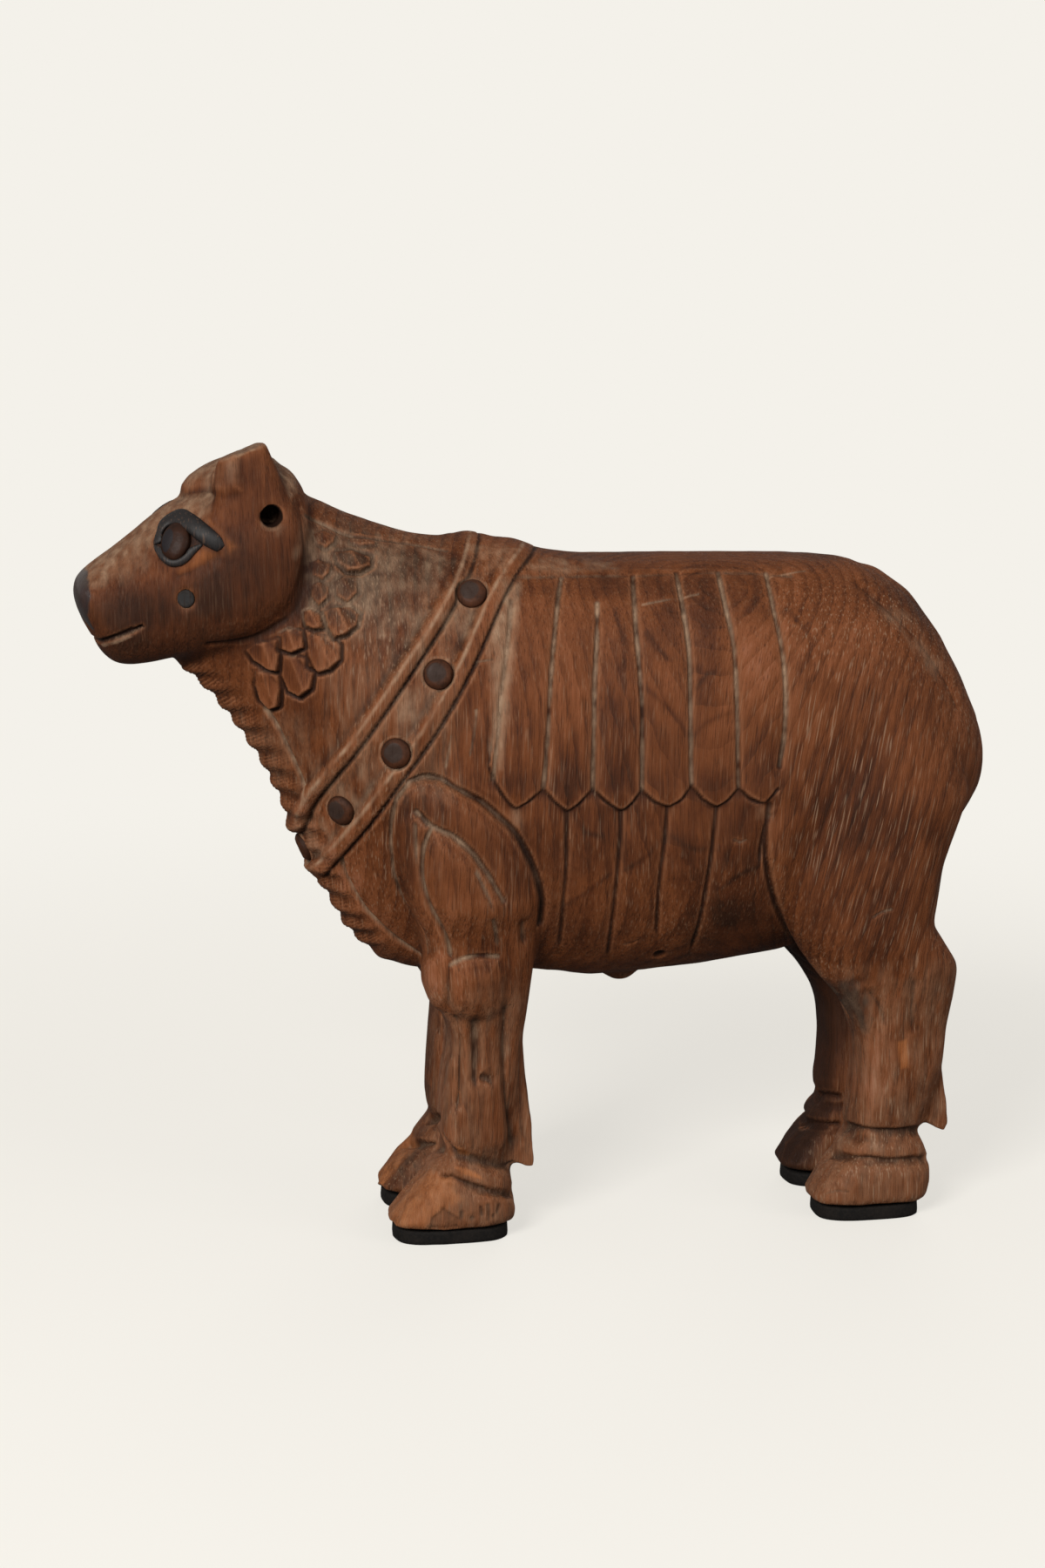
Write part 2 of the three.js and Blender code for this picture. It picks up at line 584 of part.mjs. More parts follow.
// A pad has the sole's own outline, set in all round.
function footPad(keys) {
  const [sole] = keys;
  const inset = { ...sole, front: sole.front - PAD_INSET, back: sole.back - PAD_INSET, half: sole.half - PAD_INSET };
  const outline = limbRing(inset, 0, 0).map((p) => new THREE.Vector2(p.x, p.y));
  return new THREE.ExtrudeGeometry(new THREE.Shape(outline), { depth: PAD_THICKNESS, bevelEnabled: false });
}

const footX = (foot, side) => foot.x + (side > 0 ? foot.setBack : 0);
const FEET = [
  { name: "front", keys: FRONT_LEG, x: FRONT_FOOT_X, setBack: RIGHT_FRONT_BACK, tendon: FRONT_TENDON },
  { name: "hind", keys: HIND_LEG, x: HIND_FOOT_X, setBack: RIGHT_HIND_BACK, tendon: HIND_TENDON },
];

// The block: every carved form joined, then bored for what is let into it.
function carvedBlock(seats) {
  let block = solid(formGeometry(TRUNK, TRUNK_SIDES, TRUNK_STEPS));
  block = block.add(solid(formGeometry(HEAD, HEAD_SIDES, HEAD_STEPS)));
  block = block.add(forelock()).add(tail()).add(sheath());
  block = block.add(collarRail(-COLLAR_BAND / 2)).add(collarRail(COLLAR_BAND / 2));
  for (const [name, side] of Object.entries(SIDES)) {
    block = block.add(hornStub(side, name === "left" ? HORN_STUB_LEFT : HORN_STUB_RIGHT));
    for (const foot of FEET) {
      const x = footX(foot, side);
      block = block.add(leg(foot.keys, x, side)).add(tendon(foot.tendon, x, side));
    }
  }
  for (const seat of Object.values(seats.studs)) block = block.subtract(cutter(studHole(), seat));
  for (const side of Object.keys(SIDES)) {
    block = block.subtract(cutter(eyeHole(), seats.eyes[side]));
    block = block.subtract(cutter(bore(PLUG_RADIUS + FIT_GAP, PLUG_LENGTH + FIT_GAP), seats.plugs[side]));
    block = block.subtract(cutter(bore(EAR_SOCKET_RADIUS, EAR_SOCKET_DEPTH), seats.ears[side]));
  }
  return geometryOf(block);
}

function piece(name, geometry, material, seat) {
  const mesh = new THREE.Mesh(geometry, material);
  mesh.name = name;
  if (seat) mesh.applyMatrix4(seat);
  return mesh;
}

const bothSides = (make) =>
  Object.fromEntries(Object.entries(SIDES).map(([name, side]) => [name, make(side)]));
const straightOut = (seat, side) =>
  frameAt(new THREE.Vector3().setFromMatrixPosition(seat), new THREE.Vector3(0, side, 0));
const seats = {
  studs: studSeats(),
  eyes: bothSides((side) => headSeat(EYE_AT, side)),
  plugs: bothSides((side) => headSeat(PLUG_AT, side)),
  ears: bothSides((side) => straightOut(headSeat(EAR_AT, side), side)),
};

const bull = new THREE.Group();
bull.add(piece("carved_body", carvedBlock(seats), TEAK));
for (const [name, seat] of Object.entries(seats.studs)) bull.add(piece(`collar_${name}`, studPeg(), DARK_PEG, seat));
for (const side of Object.keys(SIDES)) {
  bull.add(piece(`eye_${side}`, eyePeg(), DARK_PEG, seats.eyes[side]));
  bull.add(piece(`cheek_plug_${side}`, cheekPlug(), GREY_PLUG, seats.plugs[side]));
}
for (const foot of FEET) {
  for (const [name, side] of Object.entries(SIDES)) {
    const pad = piece(`foot_pad_${foot.name}_${name}`, footPad(foot.keys), BLACK_RUBBER);
    pad.position.set(footX(foot, side), (side * LEG_SPREAD) / 2, 0);
    bull.add(pad);
  }
}

// The part's origin is the middle of its footprint, on the ground.
const box = new THREE.Box3().setFromObject(bull);
const middle = box.getCenter(new THREE.Vector3());
bull.position.set(-middle.x, -middle.y, 0);

export default bull;
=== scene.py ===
# %% [markdown]
# # A carved wooden bull
# The object is a bull cut from one block of old teak, standing square on four short legs. Its horns
# were sawn off flat and its ears are gone, which leaves two open sockets. A collar of two rails with
# nine pegs between them goes round the neck, and two tiers of long pointed tongues hang on each flank.
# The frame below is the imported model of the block, its pegs, eyes, plugs and foot pads. Everything
# made here sits in that same frame, in metres, with +Z up and the head towards -X.

# %% Load the frame
import math

import bmesh
import bpy
import numpy as np
from mathutils import Matrix, Vector


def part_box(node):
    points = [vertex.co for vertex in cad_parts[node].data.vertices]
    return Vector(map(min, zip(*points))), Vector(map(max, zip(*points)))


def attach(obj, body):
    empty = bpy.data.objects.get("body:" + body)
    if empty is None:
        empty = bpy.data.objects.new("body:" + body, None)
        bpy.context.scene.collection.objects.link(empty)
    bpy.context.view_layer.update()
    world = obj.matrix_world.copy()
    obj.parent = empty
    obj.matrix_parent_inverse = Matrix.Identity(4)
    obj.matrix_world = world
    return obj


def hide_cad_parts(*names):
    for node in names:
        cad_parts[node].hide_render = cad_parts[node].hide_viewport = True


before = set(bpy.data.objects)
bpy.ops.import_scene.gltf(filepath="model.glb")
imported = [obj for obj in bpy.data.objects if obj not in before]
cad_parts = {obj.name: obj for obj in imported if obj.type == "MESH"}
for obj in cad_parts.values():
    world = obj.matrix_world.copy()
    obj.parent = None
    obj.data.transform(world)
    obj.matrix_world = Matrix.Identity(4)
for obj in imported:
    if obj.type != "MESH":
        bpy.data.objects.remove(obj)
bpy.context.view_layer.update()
MM = 0.001

# %% [markdown]
# ## Camera
# The photograph looks at the left flank from a little ahead of it and a little above. The numbers
# were found by laying the outline of the model over the outline in the photograph until they agreed.
# The same numbers give a ray for any pixel, which later puts each chisel line where it belongs.

# %% Camera
PHOTO_WIDTH, PHOTO_HEIGHT = 1200, 1800
FOCAL_PIXELS = 4286.0
SENSOR = 36.0
AZIMUTH, ELEVATION = math.radians(-10.7), math.radians(10.6)
CAMERA_DISTANCE = 1500.0
AIM = np.array([-6.5, 0.0, 178.2])
BACK = np.array([math.sin(AZIMUTH) * math.cos(ELEVATION), -math.cos(AZIMUTH) * math.cos(ELEVATION),
                 math.sin(ELEVATION)])
RIGHT = np.array([math.cos(AZIMUTH), math.sin(AZIMUTH), 0.0])
UP = np.cross(BACK, RIGHT)
EYE_POINT = AIM + BACK * CAMERA_DISTANCE


def standing(side, top, out, place):
    """The matrix that puts a thing's own x, y and z along side, top and out, at a place in metres."""
    columns = [(*side, 0), (*top, 0), (*out, 0), (*place, 1)]
    return Matrix(columns).transposed()


def photo_rays(pixels):
    """Directions through photo pixels: ahead, plus right and up by the offset over the focal length."""
    offset = (np.asarray(pixels, float) - [PHOTO_WIDTH / 2, PHOTO_HEIGHT / 2]) / FOCAL_PIXELS
    way = -BACK + offset[:, :1] * RIGHT - offset[:, 1:] * UP
    return way / np.linalg.norm(way, axis=1, keepdims=True)


def to_photo(points):
    """Photo pixels of points in millimetres: the offset along right and up, divided by the depth."""
    rel = points - EYE_POINT
    depth = -rel @ BACK
    return np.stack([PHOTO_WIDTH / 2 + FOCAL_PIXELS * (rel @ RIGHT) / depth,
                     PHOTO_HEIGHT / 2 - FOCAL_PIXELS * (rel @ UP) / depth], axis=1)


lens = bpy.data.cameras.new("photo_camera")
lens.sensor_width = SENSOR
lens.lens = FOCAL_PIXELS * SENSOR / PHOTO_HEIGHT
lens.clip_start, lens.clip_end = 0.05, 50.0
camera = bpy.data.objects.new("photo_camera", lens)
bpy.context.scene.collection.objects.link(camera)
camera.matrix_world = standing(RIGHT, UP, BACK, EYE_POINT * MM)
bpy.context.scene.camera = camera
bpy.context.scene.view_settings.view_transform = "Standard"
print("lens", round(lens.lens, 2), "mm, camera at", (EYE_POINT * MM).round(3))

# %% [markdown]
# ## Helpers for finishes and pieces
# Every finish below is a small tree of nodes, and every piece is a list of points with a list of faces.
# These functions write both down shortly. Colours are given as they show on a screen, from 0 to 255.

# %% Helpers for finishes and pieces
def linear(rgb):
    """A colour written in 0-255 screen values as linear RGBA, by the sRGB curve."""
    c = np.asarray(rgb, float) / 255.0
    c = np.where(c <= 0.04045, c / 12.92, ((c + 0.055) / 1.055) ** 2.4)
    return (*c, 1.0)


def node_adder(tree):
    """A function that adds nodes to one tree."""
    def add(kind, inputs=None, **props):
        """Adds a node, sets its properties and fills its inputs with values or links."""
        node = tree.nodes.new(kind if kind.startswith("Node") else "ShaderNode" + kind)
        for key, value in props.items():
            setattr(node, key, value)
        for key, value in (inputs or {}).items():
            socket = node.inputs[key]
            if isinstance(value, bpy.types.NodeSocket):
                tree.links.new(value, socket)
            else:
                socket.default_value = value
        return node
    return add


def new_material(name):
    """A material with an empty node tree, and the four functions that fill it: add, mix, span and by."""
    material = bpy.data.materials.new(name)
    material.use_nodes = True
    material.node_tree.nodes.clear()
    add = node_adder(material.node_tree)

    def mix(factor, a, b):
        """Two colours mixed by a factor."""
        return add("Mix", {0: factor, 6: a, 7: b}, data_type="RGBA").outputs[2]

    def span(value, low, high, to_low=0.0, to_high=1.0):
        """A value mapped from one span to another and held at its ends."""
        ends = {"From Min": low, "From Max": high, "To Min": to_low, "To Max": to_high}
        return add("MapRange", {"Value": value, **ends}).outputs["Result"]

    def by(a, b, operation="MULTIPLY"):
        """Two values multiplied, or put together by another sum."""
        return add("Math", {0: a, 1: b}, operation=operation).outputs[0]
    return material, add, mix, span, by


def close_finish(add, colour, rough, height, strength, depth, shine, extra=None):
    """Ends a finish: a bump from a height, one shader with colour, roughness and shine, and the output."""
    bump = add("Bump", {"Height": height, "Strength": strength, "Distance": depth}).outputs["Normal"]
    inputs = {"Base Color": colour, "Roughness": rough, "Normal": bump, "Specular IOR Level": shine}
    shader = add("BsdfPrincipled", {**inputs, **(extra or {})})
    add("OutputMaterial", {"Surface": shader.outputs[0]})


def mesh_object(name, points, faces, smooth=True):
    """Puts points in metres and a list of faces into a new mesh object at the origin."""
    mesh = bpy.data.meshes.new(name)
    mesh.from_pydata(points, [], faces)
    mesh.polygons.foreach_set("use_smooth", np.full(len(mesh.polygons), smooth))
    mesh.update()
    thing = bpy.data.objects.new(name, mesh)
    bpy.context.scene.collection.objects.link(thing)
    return thing


print("screen grey 128 is", round(float(linear((128, 128, 128))[0]), 3), "in linear light")

# %% [markdown]
# ## Floor
# A carving like this is photographed on pale paper under one big soft lamp. The floor is a wide disc
# whose material turns into plain paper colour away from the feet, so no edge or horizon shows, while
# near the feet it still takes the shadow. Rays that bounce off it find it darker than the camera does,
# so that it doesn't light the belly from below.

# %% Floor
PAPER = (244, 241, 234)
FLOOR_BOUNCE = 0.16
FLOOR_GLOW = 0.7
FLOOR_RADIUS = 8.0
RIM_POINTS = 96
FADE_FROM, FADE_TO = 0.3, 0.95

turn = np.linspace(0, 2 * np.pi, RIM_POINTS, endpoint=False)
rim = np.stack([FLOOR_RADIUS * np.cos(turn), FLOOR_RADIUS * np.sin(turn), np.zeros(RIM_POINTS)], axis=1)
floor = mesh_object("floor", rim, [tuple(range(RIM_POINTS))], smooth=False)
paper, add, mix, span, by = new_material("paper_floor")
to_camera = add("LightPath").outputs["Is Camera Ray"]
place = add("TexCoord").outputs["Object"]
away = add("VectorMath", {0: place}, operation="LENGTH").outputs["Value"]
far = add("MapRange", {"Value": away, "From Min": FADE_FROM, "From Max": FADE_TO},
          interpolation_type="SMOOTHSTEP").outputs["Result"]
tint = mix(to_camera, (FLOOR_BOUNCE, FLOOR_BOUNCE, FLOOR_BOUNCE, 1.0), linear(PAPER))
lit = add("BsdfDiffuse", {"Color": tint})
plain = add("Emission", {"Color": linear(PAPER), "Strength": 1.0})
paper_share = by(span(far, 0.0, 1.0, FLOOR_GLOW, 1.0), to_camera)
both = add("MixShader", {"Fac": paper_share, 1: lit.outputs[0], 2: plain.outputs[0]})
add("OutputMaterial", {"Surface": both.outputs[0]})
floor.data.materials.append(paper)
print("floor radius", FLOOR_RADIUS, "m, plain paper beyond", FADE_TO, "m")

# %% [markdown]
# ## Light
# Light comes from a dim even sky and one large soft panel at the upper left. A weaker panel opens the
# shadows from the right, and one behind shows the far flank without laying a shine along the back. They
# are kept at a level where a colour renders about as it is written.

# %% Light
SKY_LEVEL = 0.30
KEY_WHITE, FILL_WHITE = (1.0, 0.98, 0.95), (1.0, 0.98, 0.96)
MIDDLE = np.array([0.0, 0.0, 0.17])

world = bpy.data.worlds.new("studio")
bpy.context.scene.world = world
world.use_nodes = True
world.node_tree.nodes.clear()
add = node_adder(world.node_tree)
rays = add("LightPath").outputs
direct = add("Math", {0: rays["Is Camera Ray"], 1: rays["Is Transmission Ray"]}, operation="MAXIMUM")
ambient = add("Background", {"Color": (*KEY_WHITE, 1.0), "Strength": SKY_LEVEL})
behind = add("Background", {"Color": linear(PAPER), "Strength": 1.0})
mixed = add("MixShader", {"Fac": direct.outputs[0], 1: ambient.outputs[0], 2: behind.outputs[0]})
add("OutputWorld", {"Surface": mixed.outputs[0]})


def soft_panel(name, place, aim, size, power, colour):
    """A square area lamp at a place in metres, turned to face the aim."""
    lamp = bpy.data.lights.new(name, "AREA")
    lamp.size, lamp.energy, lamp.color = size, power, colour
    panel = bpy.data.objects.new(name, lamp)
    bpy.context.scene.collection.objects.link(panel)
    axis = np.array(place, float) - aim
    axis /= np.linalg.norm(axis)
    side = np.cross([0, 0, 1], axis)
    side /= np.linalg.norm(side)
    top = np.cross(axis, side)
    panel.matrix_world = standing(side, top, axis, place)
    return panel


soft_panel("key_panel", (-1.25, -1.9, 1.35), MIDDLE, 0.9, 66.0, KEY_WHITE)
soft_panel("fill_panel", (1.7, -1.5, 0.9), MIDDLE, 1.2, 12.0, FILL_WHITE)
soft_panel("back_panel", (0.9, 2.1, 0.55), MIDDLE, 1.2, 24.0, FILL_WHITE).visible_glossy = False
print("sky", SKY_LEVEL, "and", len(bpy.data.lights), "panels")

# %% [markdown]
# ## The hide: working on a skin
# The hide is worked on as plain arrays: where its points are, which of them are joined, and which way the
# skin faces there. These functions fetch such arrays from a mesh, write them back, and smooth a skin by
# averaging neighbours.

# %% Hide: working on a skin
MERGE_GAP = 1e-6


def finished_copy(mesh, kind, **settings):
    """A new mesh: a copy of the given one after one modifier of the given kind."""
    blank = bpy.data.objects.new("blank", mesh)
    bpy.context.scene.collection.objects.link(blank)
    change = blank.modifiers.new("change", kind)
    for key, value in settings.items():
        setattr(change, key, value)
    result = bpy.data.meshes.new_from_object(blank.evaluated_get(bpy.context.evaluated_depsgraph_get()))
    bpy.data.objects.remove(blank)
    return result


def edit_mesh(mesh, change):
    """Opens a mesh for editing, lets a function change it, and writes it back."""
    work = bmesh.new()
    work.from_mesh(mesh)
    change(work)
    work.to_mesh(mesh)
    work.free()
    return mesh


def merged_copy(node):
    """A copy of a node's mesh with its doubled points merged."""
    def merge(work):
        """Merges points that lie closer than the gap."""
        bmesh.ops.remove_doubles(work, verts=work.verts, dist=MERGE_GAP)
    return edit_mesh(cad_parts[node].data.copy(), merge)


def fetch(items, key, kind=np.float32, width=1):
    """One number, or one row of numbers, for each of a mesh's points, edges, faces or corners."""
    flat = np.empty(len(items) * width, kind)
    items.foreach_get(key, flat)
    return flat.reshape(-1, width) if width > 1 else flat


def get_points(mesh):
    """All points of a mesh as an array in millimetres."""
    return fetch(mesh.vertices, "co", width=3).astype(float) / MM


def set_points(mesh, points):
    """Writes an array in millimetres back into a mesh."""
    mesh.vertices.foreach_set("co", (points * MM).astype(np.float32).ravel())
    mesh.update()


def get_normals(mesh):
    """Outward directions at all points of a mesh."""
    return fetch(mesh.vertex_normals, "vector", width=3).astype(float)


def get_edges(mesh):
    """Pairs of point numbers, one row for each edge."""
    return fetch(mesh.edges, "vertices", np.int32, 2)


def keep_values(mesh, name, values):
    """Keeps one number per point in a mesh, for its material to read."""
    mesh.attributes.new(name, "FLOAT", "POINT").data.foreach_set("value", values.astype(np.float32))


def averaged(values, edges, freedom, rounds):
    """Moves each value towards the mean of its neighbours, by half its freedom, for a number of rounds."""
    start = np.concatenate([edges[:, 0], edges[:, 1]])
    end = np.concatenate([edges[:, 1], edges[:, 0]])
    count = np.maximum(np.bincount(start, minlength=len(values)), 1)
    out = values.copy()
    step = 0.5 * freedom
    for _ in range(rounds):
        for axis in range(out.shape[1]):
            mean = np.bincount(start, weights=out[end, axis], minlength=len(out)) / count
            out[:, axis] += step * (mean - out[:, axis])
    return out


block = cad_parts["carved_body"].data
print("the block has", len(block.vertices), "points and", len(block.polygons), "faces")

# %% [markdown]
# The round holes for pegs, eyes, plugs and ears have to stay round while the rest of the skin melts.
# Where each peg sits and which way it points is found from the peg's own points.

# %% Hide: pegs and their holes
EAR_SOCKET, EAR_RADIUS = np.array([-109.75, 24.0, 291.5]), 6.5
NECK_LEVEL, BEHIND_PEG = 190, 30
PEG_REACH, NOT_NEAR = 16, 99.0
INSETS = [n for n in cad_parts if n.startswith(("collar_stud", "eye", "cheek_plug"))]


def ramp(values, low, high):
    """0 below low, 1 above high, and a smooth S between."""
    t = np.clip((values - low) / (high - low), 0, 1)
    return t * t * (3 - 2 * t)


def under(values, none, full):
    """1 below full, 0 above none, and a smooth S between."""
    return ramp(-values, -none, -full)


def near(points, centre, inner, outer):
    """1 within the inner distance of a centre, 0 beyond the outer one, and smooth between."""
    return under(np.linalg.norm(points - centre, axis=1), outer, inner)


def peg_frame(node):
    """Middle of a peg, its across, up and outward directions, and how far it reaches each way along them.
    The outward axis is the direction in which the spread of its points differs most from the other two."""
    co = get_points(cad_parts[node].data)
    co = np.unique(co.round(3), axis=0)
    middle = (co.min(0) + co.max(0)) / 2
    spread, ways = np.linalg.eigh(np.cov((co - co.mean(0)).T))
    odd = 0 if spread[1] - spread[0] > spread[2] - spread[1] else 2
    axis = ways[:, odd]
    if axis @ (middle - [middle[0] + BEHIND_PEG, 0, NECK_LEVEL if "stud" in node else middle[2]]) < 0:
        axis = -axis
    top = np.array([0, 0, 1.0]) - axis * axis[2]
    top /= np.linalg.norm(top)
    across = np.cross(top, axis)
    reach = (co - co.mean(0)) @ np.stack([across, top, axis], axis=1)
    return co.mean(0), across, top, axis, reach.min(0), reach.max(0)


def beside_peg(points, node):
    """How far each point is outside the oval of a peg, across its own axis, in millimetres."""
    middle, across, top, axis, low, high = PEGS[node]
    rel = points - middle
    wide, tall = (high[:2] - low[:2]) / 2
    share = np.hypot(rel @ across / wide, rel @ top / tall)
    return np.where(np.abs(rel @ axis) < PEG_REACH, (share - 1) * wide, NOT_NEAR)


def holes_apart(points, gap, soft):
    """0 in the holes for pegs and ears, and 1 past a soft edge beside them."""
    free = np.ones(len(points))
    for node in INSETS:
        free *= ramp(beside_peg(points, node), gap, gap + soft)
    for side in (-1, 1):
        free *= 1 - near(points, EAR_SOCKET * [1, side, 1], EAR_RADIUS, EAR_RADIUS + soft)
    return free


PEGS = {node: peg_frame(node) for node in INSETS}
print("pegs, eyes and plugs", len(PEGS))

# %% [markdown]
# ## The hide: a smooth start
# The block's own skin is one carved surface with many branches, which no single grid of two parameters
# can follow, so it starts from a merged copy of the frame's block. A voxel remesh gives it an even skin
# of small squares. Averaging every point with its neighbours melts the facets, and doing it a second
# time to what was lost puts the wide shapes back, so that the legs don't grow thin. One round of
# subdivision then halves the squares, which makes them small enough for a chisel line.

# %% Hide: even skin
VOXEL = 1.44
MELT_REACH = 6.6
HOOF_TOP, HORN_TOP = (46, 66), (292, 302)

skin = finished_copy(merged_copy("carved_body"), "REMESH", mode="VOXEL", voxel_size=VOXEL * MM)
points = get_points(skin)
edges = get_edges(skin)
crisp_foot = 0.18 + 0.82 * ramp(points[:, 2], *HOOF_TOP)
crisp_horn = 1 - 0.85 * ramp(points[:, 2], *HORN_TOP)
freedom = crisp_foot * crisp_horn * (0.06 + 0.94 * holes_apart(points, 1.0, 3.0))
rounds = int((MELT_REACH / VOXEL) ** 2)
melted = averaged(points, edges, freedom, rounds)
smooth = melted + averaged(points - melted, edges, freedom, rounds)
set_points(skin, averaged(smooth, edges, np.maximum(freedom, 0.3), 2))
skin = finished_copy(skin, "SUBSURF", levels=1, render_levels=1)
smooth = get_points(skin)
hide = bpy.data.objects.new("hide", skin)
bpy.context.scene.collection.objects.link(hide)
bpy.context.view_layer.update()
print("hide points", len(smooth), "from", len(points), "melted in", rounds, "rounds")

# %% [markdown]
# ## Chisel lines
# Every carved line was read off the photograph as a few pixels along it. A smooth curve goes
# through those pixels, and the ray of each pixel is followed until it meets the smooth hide. That gives
# lines that lie on the wood itself, so they hold from every side. The other flank is carved as a mirror
# of this one, with its points nudged a little, because nobody carves twice alike.

# %% Chisel lines: tracing
TRACE_STEP = 5.0
FAR_OUT, RIDGE_LEAN, RIDGE_STEPS, NOSE_STEPS = 500.0, 0.6, 6, 9


def through(pixels, step=TRACE_STEP):
    """A smooth curve through the given pixels (Catmull-Rom), cut into pieces of about one step."""
    p = np.asarray(pixels, float)
    p = np.vstack([2 * p[0] - p[1], p, 2 * p[-1] - p[-2]])
    out = []
    for a, b, c, d in zip(p[:-3], p[1:-2], p[2:-1], p[3:]):
        n = max(int(np.linalg.norm(c - b) / step), 1)
        t = np.linspace(0, 1, n, endpoint=False)[:, None]
        bow = (2 * a - 5 * b + 4 * c - d) * t**2 + (3 * b - a - 3 * c + d) * t**3
        out.append(0.5 * (2 * b + (c - a) * t + bow))
    out.append(p[-2:-1])
    return np.vstack(out)


def meet(start, way):
    """The place where a ray first meets the hide, in millimetres, or None."""
    met, place, _, _ = hide.ray_cast(Vector(np.asarray(start) * MM), Vector(way))
    return np.array(place) / MM if met else None


def trace(pixels, step=TRACE_STEP):
    """The curve through some pixels, laid on the hide: each pixel's ray is followed to the wood."""
    spots = [meet(EYE_POINT, way) for way in photo_rays(through(pixels, step))]
    return np.array([spot for spot in spots if spot is not None])


def spot_at(pixel):
    """The place on the hide under one pixel."""
    return meet(EYE_POINT, photo_rays([pixel])[0])


def to_ridge(line, end, down):
    """Adds to one end of a line the way to the middle of the body, which is found from above or below."""
    last, before = (line[-1], line[-4]) if end else (line[0], line[3])
    way = (last - before) / np.linalg.norm(last - before)
    x = last[0] + way[0] * abs(last[1]) * RIDGE_LEAN
    ridge = meet([x, 0, FAR_OUT], (0, 0, -1)) if down else meet([x, 0, -FAR_OUT], (0, 0, 1))
    ridge = last * [1, 0, 1] if ridge is None else ridge
    more = last + (ridge - last) * np.linspace(0, 1, RIDGE_STEPS)[1:, None]
    return np.vstack([line, more]) if end else np.vstack([more[::-1], line])


def to_front(line):
    """Adds to the start of a line the way round the muzzle to the middle of the head, at the same height."""
    nose = meet([-FAR_OUT, 0, line[0, 2]], (1, 0, 0))
    bow = np.linspace(0, 1, NOSE_STEPS)[:-1, None]
    ahead, aside = (line[0] - nose) * [1, 0, 1], (line[0] - nose) * [0, 1, 0]
    return np.vstack([nose + ahead * bow**2.5 + aside * bow, line])


print("tracing ready, step", TRACE_STEP, "pixels")

# %% [markdown]
# A cut needs two measures: how far a point of the skin is from a line, and how far inside an outline.
# Both are worked out for all points at once.

# %% Chisel lines: distances
SECTION = 20


def distance_to(spots, line, reach):
    """Shortest distance from each spot to a traced line, no more than reach."""
    found = np.full(len(spots), float(reach))
    for first in range(0, len(line) - 1, SECTION):
        part = line[first:first + SECTION + 1]
        lo, hi = part.min(0) - reach, part.max(0) + reach
        close = np.flatnonzero(((spots > lo) & (spots < hi)).all(axis=1))
        if not len(close):
            continue
        start, along = part[:-1], np.diff(part, axis=0)
        offset = spots[close][:, None] - start
        t = np.clip((offset * along).sum(2) / np.maximum((along * along).sum(1), 1e-9), 0, 1)
        gap = np.linalg.norm(offset - t[..., None] * along, axis=2).min(axis=1)
        found[close] = np.minimum(found[close], gap)
    return found


def inside_distance(pixels, outline):
    """Distance in pixels from an outline in the photograph: above 0 inside it and below 0 outside."""
    a = np.asarray(outline, float)
    b = np.roll(a, -1, axis=0)
    offset = pixels[:, None] - a
    along = b - a
    t = np.clip((offset * along).sum(2) / (along * along).sum(1), 0, 1)
    gap = np.linalg.norm(offset - t[..., None] * along, axis=2).min(axis=1)
    y = pixels[:, 1:]
    crosses = (a[:, 1] > y) != (b[:, 1] > y)
    rise = np.where(b[:, 1] == a[:, 1], 1, b[:, 1] - a[:, 1])
    at = a[:, 0] + (y - a[:, 1]) / rise * (b[:, 0] - a[:, 0])
    inside = (crosses & (pixels[:, :1] < at)).sum(axis=1) % 2 == 1
    return np.where(inside, gap, -gap)


square = inside_distance(np.array([[5.0, 4.0]]), [(0, 0), (10, 0), (10, 10), (0, 10)])
print("a point 4 inside a square measures", square[0])

# %% [markdown]
# Handwork is never quite even. Smooth random lumps and gouge hollows come from numbers mixed up from each
# corner of a lattice, so they are the same on every run. The far flank uses them to differ a little.

# %% Chisel lines: chance and the far flank
NUDGE, NUDGE_SIZE = 2.0, 38.0
NUDGE_START, BEHIND_HEAD = (0, 12), (-100, -70)


def corner_number(cell, seed):
    """A mixed-up number between 0 and 1 for each whole-numbered lattice corner."""
    mix = (cell[:, 0] * 73856093) ^ (cell[:, 1] * 19349663) ^ (cell[:, 2] * 83492791) ^ (seed * 2654435761)
    mix = ((mix ^ (mix >> 13)) * 1274126177) & 0x7FFFFFFF
    return ((mix ^ (mix >> 15)) & 0xFFFF) / 65535.0


def lumps(spots, size, seed):
    """Smooth random lumps between -1 and 1: a mixed-up number at each lattice corner, blended between."""
    q = spots / size
    cell = np.floor(q).astype(np.int64)
    f = q - cell
    f = f * f * (3 - 2 * f)
    total = np.zeros(len(spots))
    for corner in np.ndindex(2, 2, 2):
        total += corner_number(cell + corner, seed) * np.where(corner, f, 1 - f).prod(axis=1)
    return 2 * total - 1


def scoops(spots, size, seed):
    """Shallow hollows side by side, as a gouge leaves them: the squared distance to the nearest of many
    scattered centres, one in each cell of a lattice."""
    q = spots / size
    cell = np.floor(q).astype(np.int64)
    nearest = np.full(len(spots), 4.0)
    for corner in np.ndindex(3, 3, 3):
        k = cell + corner - 1
        centre = k + np.stack([corner_number(k, seed + i) for i in range(3)], axis=1)
        nearest = np.minimum(nearest, ((q - centre) ** 2).sum(axis=1))
    return np.minimum(nearest, 1.0)


def photo_side(spots):
    """Spots folded onto the photographed flank. Those of the far flank behind the head are nudged."""
    along, up = (lumps(spots, NUDGE_SIZE, seed) for seed in (11, 12))
    nudge = np.stack([along, np.zeros(len(spots)), up], axis=1)
    how_far = NUDGE * ramp(spots[:, 1:2], *NUDGE_START) * ramp(spots[:, :1], *BEHIND_HEAD)
    folded = spots + nudge * how_far
    folded[:, 1] = -np.abs(folded[:, 1])
    return folded


